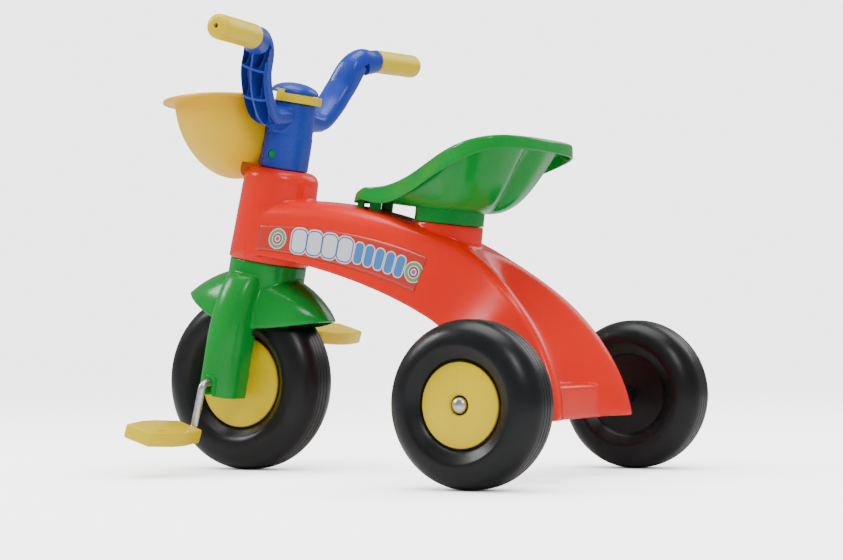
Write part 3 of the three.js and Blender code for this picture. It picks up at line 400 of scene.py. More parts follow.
def lofted(name, rings, crease=38):
    """Skin over closed rings that have the same number of points, with closed ends."""
    count = len(rings[0])
    points = [p for ring in rings for p in ring]
    faces = [(i * count + j, i * count + (j + 1) % count,
              (i + 1) * count + (j + 1) % count, (i + 1) * count + j)
             for i in range(len(rings) - 1) for j in range(count)]
    faces.append(list(range(count))[::-1])
    faces.append([(len(rings) - 1) * count + j for j in range(count)])
    return body_from(name, points, faces, crease)


def oval_ring(half_x, half_y, power, z, sides=72):
    ring = []
    for t in np.linspace(0, 2 * math.pi, sides, endpoint=False):
        c, s = math.cos(t), math.sin(t)
        ring.append(np.array([half_x * math.copysign(abs(c) ** (2 / power), c),
                              half_y * math.copysign(abs(s) ** (2 / power), s), z]))
    return ring


def remade(obj, *modifiers):
    """Applies the modifiers, given as (kind, settings), in order."""
    for kind, settings in modifiers:
        modifier = obj.modifiers.new(kind, kind)
        for name, value in settings.items():
            setattr(modifier, name, value)
    mesh = bpy.data.meshes.new_from_object(obj.evaluated_get(bpy.context.evaluated_depsgraph_get()))
    obj.modifiers.clear()
    obj.data = mesh
    return obj


def gathered(objs):
    """The meshes of several objects in the first one."""
    skin = bmesh.new()
    for obj in objs:
        skin.from_mesh(obj.data)
    skin.to_mesh(objs[0].data)
    skin.free()
    for obj in objs[1:]:
        bpy.data.objects.remove(obj)
    return objs[0]


def melted(objs, cell, passes):
    """Joins overlapping bodies into one moulding with soft corners."""
    return remade(gathered(objs), ("REMESH", {"mode": "VOXEL", "voxel_size": cell, "use_smooth_shade": True}),
                  ("SMOOTH", {"factor": 0.5, "iterations": passes}))


def combined(obj, operation, others):
    """Joins the others on or cuts them away, one after another, and uses them up."""
    for other in others:
        remade(obj, ("BOOLEAN", {"operation": operation, "solver": "MANIFOLD", "object": other}))
        bpy.data.objects.remove(other)
    return obj


def cut(obj, *cutters):
    return combined(obj, "DIFFERENCE", cutters)


def joined(obj, *parts):
    return combined(obj, "UNION", parts)


def rod(name, radius, start, end, axis="x", sides=64):
    made = turned(name, [(0, start), (radius, start), (radius, end), (0, end)], sides)
    if axis == "z":
        placed(made, Matrix.Rotation(-math.pi / 2, 4, "Y"))
    if axis == "y":
        placed(made, Matrix.Rotation(math.pi / 2, 4, "Z"))
    return made


def upright(name, outline, sides=96):
    return placed(turned(name, outline, sides), Matrix.Rotation(-math.pi / 2, 4, "Y"))


def head_outline(inset, bottom):
    shoulder = 12 * mm
    arc = [(41 * mm - shoulder + (shoulder - inset) * math.cos(a),
            head_top - shoulder + (shoulder - inset) * math.sin(a)) for a in np.linspace(0, math.pi / 2, 9)]
    low = 44 * mm - inset
    return [(0, bottom), (low, bottom), (low, head_bottom), *arc, (0, head_top - inset)]


seat_tilt = math.radians(7.6)
seat_y = rear_y - 127 * mm
seat_z = crest_height(seat_y) + 9 * mm
seat_place = Matrix.Translation((0, seat_y, seat_z)) @ Matrix.Rotation(-seat_tilt, 4, "X")
boss_half = (31 * mm, 36.5 * mm)


def boss(name, inset, start, end):
    rings = [oval_ring(boss_half[0] - inset, boss_half[1] - inset, 2.3, z)
             for z in np.linspace(start, end, 4)]
    return placed(lofted(name, rings), seat_place)


def axle_box(inset, below):
    half, top = 50 * mm - inset, 95 * mm - inset
    corner = 7 * mm
    front, back = rear_y - 20 * mm + inset, rear_y + 23 * mm - inset
    rings = []
    for y, narrow in ((front, 0), (back - corner, 0), (back - 0.3 * corner, 0.3), (back, 1)):
        w, h = half - corner * 0.6 * narrow, top - corner * 0.5 * narrow
        outline = [(w, skirt_z - below), (w, h - corner)]
        outline += [(w - corner * (1 - math.cos(a)), h - corner * (1 - math.sin(a)))
                    for a in np.linspace(0, math.pi / 2, 5)[1:]]
        outline += [(-x, z) for x, z in reversed(outline)]
        rings.append([np.array([x, y, z]) for x, z in outline])
    return lofted("axle_box", rings)


steps = np.linspace(0, 1, 110)
outside = melted([
    lofted("arch", [arch_ring(t, 0, 0) for t in steps]),
    placed(upright("head", head_outline(0, head_bottom)), from_steering),
    boss("boss", 0, -34 * mm, 0), axle_box(0, 1 * mm)], 1.3 * mm, 14)
inside_rings = [arch_ring(t, body_wall, 6 * mm) for t in np.linspace(0.02, 1, 90)]
inside_rings.append([p - np.array([0, 0, 8 * mm]) for p in inside_rings[-1]])
inside = melted([
    lofted("arch_hollow", inside_rings),
    placed(upright("head_hollow", head_outline(body_wall, head_bottom - 20 * mm)), from_steering),
    boss("boss_hollow", body_wall, -42 * mm, -3 * mm),
    axle_box(body_wall, 12 * mm)], 1.8 * mm, 6)
body = cut(outside, inside)
sleeve = placed(upright("sleeve", [(column_room, head_bottom + 3 * mm), (23.8 * mm, head_bottom + 3 * mm),
                                   (23.8 * mm, head_top - 1 * mm), (column_room, head_top - 1 * mm)]),
                from_steering)
tube_half = 98 * mm
tube = placed(rod("axle_tube", 12 * mm, -tube_half, tube_half), Matrix.Translation((0, rear_y, rear_radius)))
ring_inner, ring_top = 40.5 * mm, head_bottom + 16 * mm
ring = upright("head_ring", [(ring_inner, head_bottom), (43 * mm, head_bottom),
                             (43.9 * mm, head_bottom + 1 * mm), (43.6 * mm, ring_top),
                             (ring_inner, ring_top)])
placed(ring, from_steering)
joined(body, sleeve, tube, ring)
cut(body,
    placed(rod("head_bore", column_room, head_bottom - 30 * mm, head_top + 30 * mm, "z"), from_steering),
    placed(rod("axle_bore", axle_radius + 0.3 * mm, -2 * tube_half, 2 * tube_half),
           Matrix.Translation((0, rear_y, rear_radius))))
body_red = moulded_plastic("body_red", (0.95, 0.016, 0.004), (0.9, 0.012, 0.003), 0.17, 0.26,
                           clouds=9, grain=1100, relief=0.1)


def finished(obj, name, material, crease):
    """Names a moulding, smooths it up to its creases and gives it its one material."""
    obj.name = name
    obj.data.materials.clear()
    obj.data.materials.append(material)
    return shade(obj, crease)


finished(body, "body_shell", body_red, 45)
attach(body, "frame")
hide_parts("main_frame")

# ==== Labels ======================================================================================
# A printed film on each side of the beam: pale rounded shapes with blue outlines on red, with green
# rings at the ends. The film is clear-coated and glued flat.
label_top, label_bottom = (0.54, 0.68), (0.1, 0.2)
label_start, label_end = 0.015, 0.385


def label_place(t, share, side, offset):
    low = edge_at(t)
    up = crest_at(t) - low
    height = np.linalg.norm(up)
    v = height * share
    wall = side_at(t) + 2 * mm * (1 - v / (height - corner_at(t)))
    return low + up / height * v + np.array([side * (wall + offset), 0, 0])


def printed_film():
    """Shapes drawn in millimetres along and across the film, from its own UV map."""
    material = bpy.data.materials.new("printed_film")
    material.use_nodes = True
    nodes, links = material.node_tree.nodes, material.node_tree.links
    shader = nodes["Principled BSDF"]
    shader.inputs["Coat Weight"].default_value = 0.5
    shader.inputs["Coat Roughness"].default_value = 0.08

    def math_node(operation, *values):
        node = nodes.new("ShaderNodeMath")
        node.operation = operation
        for i, value in enumerate(values):
            if isinstance(value, (int, float)):
                node.inputs[i].default_value = value
            else:
                links.new(value, node.inputs[i])
        return node.outputs[0]

    uv = nodes.new("ShaderNodeUVMap")
    uv.uv_map = "film"
    parts = nodes.new("ShaderNodeSeparateXYZ")
    links.new(uv.outputs["UV"], parts.inputs["Vector"])
    along = math_node("MULTIPLY", parts.outputs["X"], 100)
    across = math_node("MULTIPLY", parts.outputs["Y"], 100)

    def shape_distance(x, y, half_x, half_y, pitch=0, count=1):
        """Distance outside a rounded box, repeated along the film."""
        u = math_node("SUBTRACT", along, x)
        if count > 1:
            turn = math_node("MINIMUM", math_node("MAXIMUM", math_node("ROUND", math_node(
                "DIVIDE", u, pitch)), 0), count - 1)
            u = math_node("SUBTRACT", u, math_node("MULTIPLY", turn, pitch))
        dx = math_node("MAXIMUM", math_node("SUBTRACT", math_node("ABSOLUTE", u), half_x), 0)
        v = math_node("SUBTRACT", across, y)
        dy = math_node("MAXIMUM", math_node("SUBTRACT", math_node("ABSOLUTE", v), half_y), 0)
        squares = math_node("ADD", math_node("MULTIPLY", dx, dx), math_node("MULTIPLY", dy, dy))
        return math_node("SQRT", squares)

    def inside(distance, reach):
        return math_node("LESS_THAN", distance, reach)

    def painted(under, mask, colour):
        mix = nodes.new("ShaderNodeMix")
        mix.data_type = "RGBA"
        links.new(mask, mix.inputs["Factor"])
        links.new(under, mix.inputs["A"])
        mix.inputs["B"].default_value = (*colour, 1)
        return mix.outputs["Result"]

    fleck = nodes.new("ShaderNodeTexNoise")
    fleck.inputs["Scale"].default_value = 300
    ground = nodes.new("ShaderNodeValToRGB")
    ground.color_ramp.elements[0].color = (0.6, 0.018, 0.009, 1)
    ground.color_ramp.elements[1].color = (0.7, 0.026, 0.012, 1)
    links.new(fleck.outputs["Fac"], ground.inputs["Fac"])
    white, blue, pale_blue, green = (0.8, 0.82, 0.9), (0.03, 0.1, 0.42), (0.06, 0.24, 0.62), (0.1, 0.42, 0.16)
    colour = ground.outputs["Color"]
    discs = shape_distance(54, 50, 2.2, 5.5, 19.5, 4)
    colour = painted(colour, inside(discs, 9.2), white)
    colour = painted(colour, inside(discs, 7.9), blue)
    colour = painted(colour, inside(discs, 6.6), white)
    bars = shape_distance(130, 50, 0.5, 6.5, 13, 5)
    colour = painted(colour, inside(bars, 5.8), white)
    colour = painted(colour, inside(bars, 4.6), pale_blue)
    for x in (26, 200):
        ring = shape_distance(x, 50, 0, 0)
        band = math_node("ABSOLUTE", math_node("SUBTRACT", ring, 8.5))
        colour = painted(colour, inside(band, 2.7), white)
        colour = painted(colour, inside(band, 1.7), green)
        colour = painted(colour, inside(ring, 3.6), white)
        colour = painted(colour, inside(ring, 2.4), pale_blue)
    links.new(colour, shader.inputs["Base Color"])
    gloss = nodes.new("ShaderNodeMapRange")
    gloss.inputs["To Min"].default_value = 0.24
    gloss.inputs["To Max"].default_value = 0.36
    links.new(fleck.outputs["Fac"], gloss.inputs["Value"])
    links.new(gloss.outputs["Result"], shader.inputs["Roughness"])
    return material


film = printed_film()
for hand, side in (("left", 1), ("right", -1)):
    columns, rows = 80, 10
    points, places = [], []
    along = 0
    previous = None
    for i in range(columns + 1):
        share = i / columns
        t = between(label_start, label_end, share)
        low, high = between(*label_bottom, share), between(*label_top, share)
        middle = label_place(t, (low + high) / 2, side, 0)
        along += 0 if previous is None else float(np.linalg.norm(middle - previous))
        previous = middle
        height = float(np.linalg.norm(label_place(t, high, side, 0) - label_place(t, low, side, 0)))
        for j in range(rows + 1):
            edge = 0.35 * mm if i in (0, columns) or j in (0, rows) else 0.55 * mm
            points.append(label_place(t, between(low, high, j / rows), side, edge))
            places.append((along * 10, 0.5 + (j / rows - 0.5) * height * 10))
    faces = [(i * (rows + 1) + j, (i + 1) * (rows + 1) + j,
              (i + 1) * (rows + 1) + j + 1, i * (rows + 1) + j + 1)
             for i in range(columns) for j in range(rows)]
    label = body_from(f"label_{hand}_film", points, faces, 60)
    if label.data.polygons[0].normal.x * side < 0:
        label.data.flip_normals()
    layer = label.data.uv_layers.new(name="film")
    reach = along * 10
    for loop in label.data.loops:
        u, v = places[loop.vertex_index]
        layer.data[loop.index].uv = (u if side > 0 else reach - u, v)
    remade(label, ("SOLIDIFY", {"thickness": 0.25 * mm, "offset": -1}))
    label.data.materials.append(film)
    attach(label, "frame")
    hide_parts(f"label_{hand}")

# ==== Seat ========================================================================================
# A saddle moulded in green plastic: a turned-down rim, a flat flange, a deep pan with two lobes at
# the back, and a hollow stem that stands on the body's boss. Two screws from below hold it.
seat_nose, seat_tail, seat_half = -114 * mm, 107 * mm, 96 * mm
seat_floor, seat_wall, flange_from = 13.6 * mm, 3 * mm, 0.86
rim_round = 4.5 * mm
seat_screws = (-18 * mm, 18 * mm)


def smooth_line(corners, count):
    """Evenly spaced places along a centripetal Catmull-Rom curve through the corners."""
    p = np.array(corners, float)
    p = np.vstack([2 * p[0] - p[1], p, 2 * p[-1] - p[-2]])
    found = []
    for i in range(1, len(p) - 2):
        knots = [0.0]
        for a, b in zip(p[i - 1:i + 2], p[i:i + 3]):
            knots.append(knots[-1] + max(1e-9, np.linalg.norm(b - a)) ** 0.5)
        for t in np.linspace(knots[1], knots[2], 40, endpoint=False):
            line = list(p[i - 1:i + 3])
            for level in range(1, 4):
                line = [((knots[j + level] - t) * line[j] + (t - knots[j]) * line[j + 1])
                        / (knots[j + level] - knots[j]) if level < 3 else
                        ((knots[2] - t) * line[j] + (t - knots[1]) * line[j + 1]) / (knots[2] - knots[1])
                        for j in range(len(line) - 1)]
            found.append(line[0])
    found.append(p[-2])
    found = np.array(found)
    run = np.concatenate([[0], np.cumsum(np.linalg.norm(np.diff(found, axis=0), axis=1))])
    marks = np.linspace(0, run[-1], count)
    return np.stack([np.interp(marks, run, found[:, k]) for k in range(found.shape[1])], axis=1)


half_rim = smooth_line([(0, seat_nose), (15 * mm, seat_nose + 5 * mm), (27 * mm, seat_nose + 25 * mm),
                        (34 * mm, seat_nose + 56 * mm), (50 * mm, -26 * mm),
                        (seat_half * 0.75, 8 * mm), (seat_half * 0.92, 36 * mm),
                        (seat_half, seat_tail - 43 * mm), (seat_half * 0.93, seat_tail - 21 * mm),
                        (seat_half * 0.75, seat_tail - 9 * mm), (seat_half * 0.4, seat_tail - 2 * mm),
                        (0, seat_tail)], 90)
half_rim[0, 0] = half_rim[-1, 0] = 0
rim_line = np.vstack([half_rim, half_rim[-2:0:-1] * (-1, 1)])


def rim_height(y):
    return (29 * mm + 69 * mm * step(y, seat_nose + 17 * mm, seat_tail + 18 * mm)
            - 7 * mm * (1 - step(y, seat_nose, seat_nose + 22 * mm)))


def band_height(y):
    return (between(11, 19.5, step(y, seat_nose, seat_nose + 60 * mm)) - 6 * step(y, 40 * mm, seat_tail)) * mm


def seat_ring(spread, height_of, outward=0.0):
    """One ring of the seat: spread is the share of the way from the stem to the rim."""
    ring = []
    for x, y in rim_line:
        way = np.array([x, y]) / math.hypot(x, y)
        reach = 1 / math.hypot(way[0] / boss_half[0], way[1] / boss_half[1])
        valley = 0.3 * step(y, 0, seat_tail) * math.exp(-(x / (20 * mm)) ** 2)
        pulled = spread * (1 - valley * math.sin(math.pi * min(1, spread)))
        place = between(way * reach * 0.9, np.array([x, y]), pulled) + way * outward
        ring.append(np.array([place[0], place[1], height_of(y, spread)]))
    return ring


def pan(lift):
    def height(y, spread):
        floor = seat_floor + lift
        depth = step(min(1, spread / flange_from) ** 2.4, -0.35, 1.12)
        depth = (depth - step(0, -0.35, 1.12)) / (step(1, -0.35, 1.12) - step(0, -0.35, 1.12))
        return max(floor, between(floor, rim_height(y) - 2 * mm - seat_wall + lift, depth))
    return height


def below_rim(drop):
    return lambda y, spread: rim_height(y) - drop


def band_edge(rise):
    return lambda y, spread: rim_height(y) - band_height(y) + rise


spreads = list(np.linspace(0, flange_from, 26))
seat_rings = [seat_ring(s, pan(seat_wall)) for s in spreads]
seat_rings += [seat_ring(0.9, below_rim(1.6 * mm)), seat_ring(0.935, below_rim(0.7 * mm)),
               seat_ring(0.965, below_rim(0.2 * mm))]
seat_rings += [seat_ring(1 - 0.03 * (1 - math.sin(a)), below_rim(rim_round * (1 - math.cos(a))))
               for a in np.linspace(0.25, math.pi / 2, 8)]
for share, outward in ((0.35, 0.5), (0.7, 0.85), (0.94, 1.0)):
    seat_rings.append(seat_ring(
        1, lambda y, s: rim_height(y) - between(rim_round, band_height(y), share), outward * mm))
seat_rings += [seat_ring(1, band_edge(0), 0.6 * mm), seat_ring(1, band_edge(0), -1.4 * mm),
               seat_ring(1, band_edge(0.6 * mm), -1.9 * mm), seat_ring(0.975, below_rim(8 * mm), -1.8 * mm),
               seat_ring(0.965, below_rim(6 * mm), -2.2 * mm)]
seat_rings += [seat_ring(s, pan(0), 2 * mm * s) for s in reversed(spreads)]
saddle = placed(lofted("saddle", seat_rings, 50), seat_place)


def seat_prism(name, half_x, half_y, power, start, end, middle=(0, 0)):
    rings = [[p + np.array([middle[0], middle[1], 0]) for p in oval_ring(half_x, half_y, power, z)]
             for z in (start, end)]
    return placed(lofted(name, rings), seat_place)


stem = seat_prism("stem", *boss_half, 2.3, 0.3 * mm, seat_floor + 1.5 * mm)
stem = cut(stem, seat_prism("stem_hollow", boss_half[0] - seat_wall, boss_half[1] - seat_wall, 2.3,
                            -1 * mm, seat_floor + 1 * mm))
stem_parts = [stem]
for y in seat_screws:
    post = seat_prism("screw_post", 5.2 * mm, 5.2 * mm, 2, 0.4 * mm, seat_floor + 1.2 * mm, (0, y))
    stem_parts.append(post)
beam_room = placed(lofted("beam_room", [arch_ring(t, 0, 0) for t in np.linspace(0, 0.5, 60)]),
                   Matrix.Translation((0, 0, 0.3 * mm)))
for x in (-12 * mm, 12 * mm):
    for y, half_y in ((seat_nose + 11.5 * mm, 3.5 * mm), (seat_nose + 29.5 * mm, 6.5 * mm)):
        leg = seat_prism("nose_leg", 2 * mm, half_y, 8, -10 * mm, seat_floor + 6.5 * mm, (x, y))
        stem_parts.append(leg)
for part in stem_parts:
    if part.name.startswith("nose_leg"):
        remade(part, ("BOOLEAN", {"operation": "DIFFERENCE", "solver": "MANIFOLD", "object": beam_room}))
joined(saddle, *stem_parts)
bpy.data.objects.remove(beam_room)
for y in seat_screws:
    cut(saddle, seat_prism("pilot", 2.5 * mm, 2.5 * mm, 2, -5 * mm, seat_floor - 1 * mm, (0, y)))
seat_green = moulded_plastic("seat_green", (0.0, 0.33, 0.04), (0.0, 0.28, 0.032), 0.15, 0.24,
                             clouds=10, grain=1200, relief=0.1)
finished(saddle, "saddle_moulding", seat_green, 42)
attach(saddle, "frame")
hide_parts("seat")

# ==== Screws ======================================================================================
# Zinc-plated pan-head screws with a cross recess: two up into the seat, two through the bucket into
# the stem of the handlebar.
screw_zinc = plated_steel("screw_zinc", (0.62, 0.62, 0.6), (0.36, 0.36, 0.35), (1, 1, 1))


def screw(name, head_face, shank_end, place, body_name, node):
    """A screw along +X: its head reaches back from head_face, its shank ends at shank_end."""
    head = [(0, head_face - 2.6 * mm)]
    head += [(4.5 * mm * math.sin(a), head_face - 1.2 * mm - 1.4 * mm * math.cos(a))
             for a in np.linspace(0.15, math.pi / 2, 8)]
    shank = [(4.5 * mm, head_face), (1.9 * mm, head_face)]
    turns = int((shank_end - head_face - 2 * mm) / (1.2 * mm))
    for i in range(turns):
        at = head_face + 1 * mm + i * 1.2 * mm
        shank += [(1.7 * mm, at), (2.15 * mm, at + 0.5 * mm), (1.7 * mm, at + 1.0 * mm)]
    made = turned(name, head + shank + [(1.2 * mm, shank_end - 0.5 * mm), (0, shank_end)], 40, 32)
    for spin in (0, math.pi / 2):
        blade = bmesh.new()
        bmesh.ops.create_cube(blade, size=1, matrix=Matrix.Rotation(spin, 4, "X")
                              @ Matrix.Translation((head_face - 2.2 * mm, 0, 0))
                              @ Matrix.Diagonal((2.2 * mm, 0.9 * mm, 4.6 * mm, 1)))
        mesh = bpy.data.meshes.new("recess")
        blade.to_mesh(mesh)
        blade.free()
        recess = bpy.data.objects.new("recess", mesh)
        bpy.context.scene.collection.objects.link(recess)
        cut(made, recess)
    finished(placed(made, place), name, screw_zinc, 32)
    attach(made, body_name)
    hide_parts(node)


for name, y in zip(("front", "rear"), seat_screws):
    screw(f"seat_screw_{name}_metal", -3.3 * mm, seat_floor - 1.3 * mm,
          seat_place @ Matrix.Translation((0, y, 0)) @ Matrix.Rotation(-math.pi / 2, 4, "Y"),
          "frame", f"seat_screw_{name}")
stem_top = head_top + 73.5 * mm
screw_heights = (stem_top - 35.5 * mm, stem_top - 13.5 * mm)
for i, height in enumerate(screw_heights):
    screw(f"bucket_screw_{i + 1}_metal", -31.2 * mm, -20.6 * mm,
          from_steering @ Matrix.Translation((0, 0, height)) @ Matrix.Rotation(math.pi / 2, 4, "Z"),
          "steering", f"bucket_screw_{i + 1}")

# ==== Fork ========================================================================================
# Crown, column, two legs and a mudguard in one green moulding. A raised lip runs round the slot in
# which the pedal crank turns.
crown_top = head_bottom - 0.3 * mm
crown_bottom = crown_top - 36 * mm
leg_bottom, leg_top = -14.5 * mm, head_bottom - 16 * mm
shoulder_from = leg_top - 78 * mm
front_half = (front_high.x - front_low.x) / 2
leg_inner = front_half + 4.5 * mm
leg_outer = leg_inner + 39 * mm
fork_wall, wheel_gap = 3 * mm, 1.2 * mm
slot_half, lip_half = 4.3 * mm, 8.3 * mm
column_inner, column_outer = 16.5 * mm, 20 * mm
snap_height = head_top + 15 * mm
visor_reach = front_radius
visor_radius = front_radius + 29 * mm
visor_middle = visor_radius - 66 * mm


def leg_ring(h, inset, side):
    above = max(0, h - shoulder_from) / (leg_top + 6 * mm - shoulder_from)
    bulge = math.sqrt(max(0, 1 - above ** 2))
    inner = leg_inner - (10 * mm if inset else 0)
    outer = between(40 * mm, leg_outer, bulge) - inset
    half = 22.6 * mm * (0.6 + 0.4 * bulge) - inset
    straight = between(inner, outer, 0.45)
    ring = [(inner, -half)]
    ring += [(straight + (outer - straight) * abs(math.sin(a)) ** 0.86, -half * math.cos(a))
             for a in np.linspace(0, math.pi, 30)]
    ring += [(inner, half)]
    return [np.array([side * x, y, h]) for x, y in ring]


def visor_ring(y, inset):
    share = min(1, abs(y) / visor_reach)
    half = max(0.4 * mm, 48 * mm * (1 - share ** 2.2) ** 0.7 - inset)
    edge = visor_middle + 25 * mm * share ** 1.5 - (8 * mm if inset else 0)
    low_front = 3 * mm * step(-y, 0, visor_reach)
    crest = max(edge + 0.4 * mm, math.sqrt(max(0, (visor_radius - inset - low_front) ** 2 - y ** 2)))
    return [np.array([half * math.cos(a), y, edge + (crest - edge) * abs(math.sin(a)) ** 0.8])
            for a in np.linspace(0, math.pi, 40)]


def visor(name, inset):
    reach = visor_reach - inset * 0.9
    return lofted(name, [visor_ring(reach * math.sin(a), inset) for a in np.linspace(-1.5, 1.5, 70)])


def legs(name, inset):
    heights = np.concatenate([[leg_bottom + inset], np.linspace(0, shoulder_from, 8),
                              shoulder_from + (leg_top - shoulder_from) * np.linspace(0.06, 1, 30)])
    return [lofted(name, [leg_ring(h, inset, side) for h in heights]) for side in (1, -1)]


crown = upright("crown", [(0, crown_bottom), (42 * mm, crown_bottom), (42 * mm, crown_top), (0, crown_top)])
fork = melted([crown, visor("visor", 0), *legs("leg", 0)], 1.1 * mm, 10)
hollow = melted([upright("crown_hollow", [(0, crown_bottom - 20 * mm), (39 * mm, crown_bottom - 20 * mm),
                                          (39 * mm, crown_top - 4 * mm), (0, crown_top - 4 * mm)]),
                 visor("visor_hollow", fork_wall), *legs("leg_hollow", fork_wall)], 1.5 * mm, 4)
cut(fork, hollow)


def slot_body(name, half, below, start, end):
    arch = [(half * math.cos(a), half * math.sin(a)) for a in np.linspace(0, math.pi, 24)]
    outline = [(half, below), *arch, (-half, below)]
    return lofted(name, [[np.array([x, y, z]) for y, z in outline] for x in (start, end)])


added, slots = [], []
for side in (1, -1):
    mirror = Matrix.Diagonal((side, 1, 1, 1))
    lining = slot_body("slot_lining", lip_half, leg_bottom + 1 * mm, leg_inner, leg_outer - 2 * mm)
    added.append(placed(lining, mirror))
    lip = slot_body("slot_lip", lip_half, leg_bottom + 2 * mm, leg_outer - 4 * mm, leg_outer + 1.8 * mm)
    remade(lip, ("BEVEL", {"width": 0.8 * mm, "segments": 3, "limit_method": "ANGLE"}))
    added.append(placed(lip, mirror))
    added.append(placed(rod("snap_button", 4.4 * mm, 18 * mm, 25.5 * mm),
                        Matrix.Translation((0, 0, snap_height)) @ mirror))
    slots.append(placed(slot_body("slot", slot_half, leg_bottom - 5 * mm, leg_inner - 5 * mm,
                                  leg_outer + 10 * mm), mirror))
added.append(upright("column", [(column_inner, crown_top - 1 * mm), (column_outer, crown_top - 1 * mm),
                                (column_outer, stem_top - 7 * mm), (19 * mm, stem_top - 6 * mm),
                                (column_inner, stem_top - 6 * mm)]))
joined(fork, *added)
cut(fork, rod("wheel_room", front_radius + wheel_gap, -front_half - wheel_gap, front_half + wheel_gap,
              sides=128),
    *slots, rod("column_bore", column_inner, crown_top - 5 * mm, crown_top + 2 * mm, "z"))
placed(fork, from_steering)
fork_green = moulded_plastic("fork_green", (0.0, 0.32, 0.038), (0.0, 0.27, 0.03), 0.16, 0.25, clouds=12,
                             grain=1200, relief=0.1)
finished(fork, "fork_moulding", fork_green, 42)
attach(fork, "steering")
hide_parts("fork")

# ==== Handlebar ===================================================================================
# Two arms on a stem that slips over the fork's column, in one blue moulding. The arms are smooth
# towards the child and ribbed on the outside, with two rows of pockets beside a middle web.
grip_sweep = math.radians(5.6)
grip_way = Vector((math.cos(grip_sweep), math.sin(grip_sweep), math.tan(math.radians(2)))).normalized()
grip_start = Vector((120 * mm, 19 * mm, stem_top + 61 * mm))
arm_line = smooth_line([(16 * mm, 0, stem_top - 16 * mm), (48 * mm, -0.5 * mm, stem_top - 17 * mm),
                        (68 * mm, 1 * mm, stem_top + 1 * mm), (82 * mm, 3.5 * mm, stem_top + 24 * mm),
                        (94 * mm, 10 * mm, stem_top + 49 * mm), tuple(grip_start)], 61)
arm_half, arm_thick = 17 * mm, 10.5 * mm


def arm_frame(share):
    at = share * (len(arm_line) - 1)
    i = min(len(arm_line) - 2, int(at))
    centre = Vector(between(arm_line[i], arm_line[i + 1], at - i))
    low, high = max(0, i - 1), min(len(arm_line) - 1, i + 2)
    along = grip_way if share > 0.995 else Vector(arm_line[high] - arm_line[low]).normalized()
    aft = (Vector((0, 1, 0)) - along * along.y).normalized()
    return centre, aft, aft.cross(along).normalized()


def arm_ring(share, side):
    centre, aft, inner = arm_frame(share)
    round_off = step(share, 0.62, 1)
    half, thick = between(arm_half, 13 * mm, round_off), between(arm_thick, 13 * mm, round_off)
    power = between(3, 2, round_off)
    ring = []
    for f, n, _ in oval_ring(half, thick, power, 0, 48):
        if n < 0:
            n = between(max(n, -arm_thick), n, round_off)
        else:
            n *= 1 + 0.5 * step(share, 0.6, 0.84) * (1 - step(share, 0.86, 1))
        place = centre + aft * float(f) - inner * float(n)
        ring.append(np.array([side * place.x, place.y, place.z]))
    return ring


def arm_section(share, outline, row, side):
    """Places across the arm, given as (away from the middle web, inward), in one row of pockets."""
    centre, aft, inner = arm_frame(share)
    ring = [centre + aft * (row * f) + inner * n for f, n in outline]
    return [np.array([side * p.x, p.y, p.z]) for p in ring]


def arm_pocket(start, end, row, side):
    """One bay of one row."""
    wall = 2.4 * mm
    outline = [(wall / 2, 30 * mm), (arm_half - wall, 30 * mm),
               (arm_half - wall, 4 * mm - arm_thick + wall), (wall / 2, wall - arm_thick)]
    return lofted("pocket", [arm_section(share, outline, row, side) for share in np.linspace(start, end, 6)])


def arm_gusset(start, end, row, side):
    """The tapered web that rises to the rib at the foot of a bay."""
    rings = []
    for share in np.linspace(start, between(start, end, 0.92), 6):
        k = (end - share) / (end - start)
        middle, half = arm_half / 2, (arm_half / 2 - 3.4 * mm) * k
        face = between(-arm_thick + 2.3 * mm, arm_thick - 2 * mm, k)
        outline = [(middle - half, -arm_thick + 2.2 * mm), (middle + half, -arm_thick + 2.2 * mm),
                   (middle + 0.4 * mm, face), (middle - 0.4 * mm, face)]
        rings.append(arm_section(share, outline, row, side))
    return lofted("gusset", rings)


def along_grip(side):
    turn = Vector((1, 0, 0)).rotation_difference(grip_way).to_matrix().to_4x4()
    return Matrix.Diagonal((side, 1, 1, 1)) @ Matrix.Translation(grip_start) @ turn


parts = [upright("bar_stem", [(0, head_top + 0.3 * mm), (27 * mm, head_top + 0.3 * mm),
                              (27 * mm, head_top + 36 * mm), (26.4 * mm, head_top + 37.5 * mm),
                              (25.2 * mm, stem_top), (0, stem_top)])]
for side in (1, -1):
    parts.append(lofted("arm", [arm_ring(s, side) for s in np.linspace(0, 1, 50)]))
    web = [[np.array([side * x, p[1], z + p[0]]) for p in oval_ring(half, 14 * mm, 2.6, 0, 40)]
           for x, z, half in ((12 * mm, stem_top - 21 * mm, 14 * mm), (34 * mm, stem_top - 19 * mm, 12 * mm),
                              (52 * mm, stem_top - 15 * mm, 9 * mm))]
    parts.append(lofted("web", web))
bar = melted(parts, 1.0 * mm, 7)
bays, pockets_from, pockets_to, half_rib = 3, 0.2, 0.88, 0.008
for side in (1, -1):
    for bay in range(bays):
        start = between(pockets_from, pockets_to, bay / bays) + half_rib
        end = between(pockets_from, pockets_to, (bay + 1) / bays) - half_rib
        for row in (1, -1):
            cut(bar, arm_pocket(start, end, row, side))
            joined(bar, arm_gusset(start - 0.01, end, row, side))
    joined(bar, placed(rod("grip_core", 9.5 * mm, -8 * mm, 70 * mm), along_grip(side)))
cut(bar, rod("stem_bore", column_room, head_top - 5 * mm, stem_top + 5 * mm, "z"),
    placed(rod("snap_holes", 4.7 * mm, -40 * mm, 40 * mm), Matrix.Translation((0, 0, snap_height))),
    *[placed(rod("screw_hole", 2.5 * mm, -33 * mm, -19.3 * mm, "y"), Matrix.Translation((0, 0, h)))
      for h in screw_heights])
placed(bar, from_steering)
bar_blue = moulded_plastic("bar_blue", (0.022, 0.06, 0.46), (0.017, 0.05, 0.4), 0.2, 0.31,
                           clouds=14, grain=1100, relief=0.12)
finished(bar, "handlebar_moulding", bar_blue, 42)
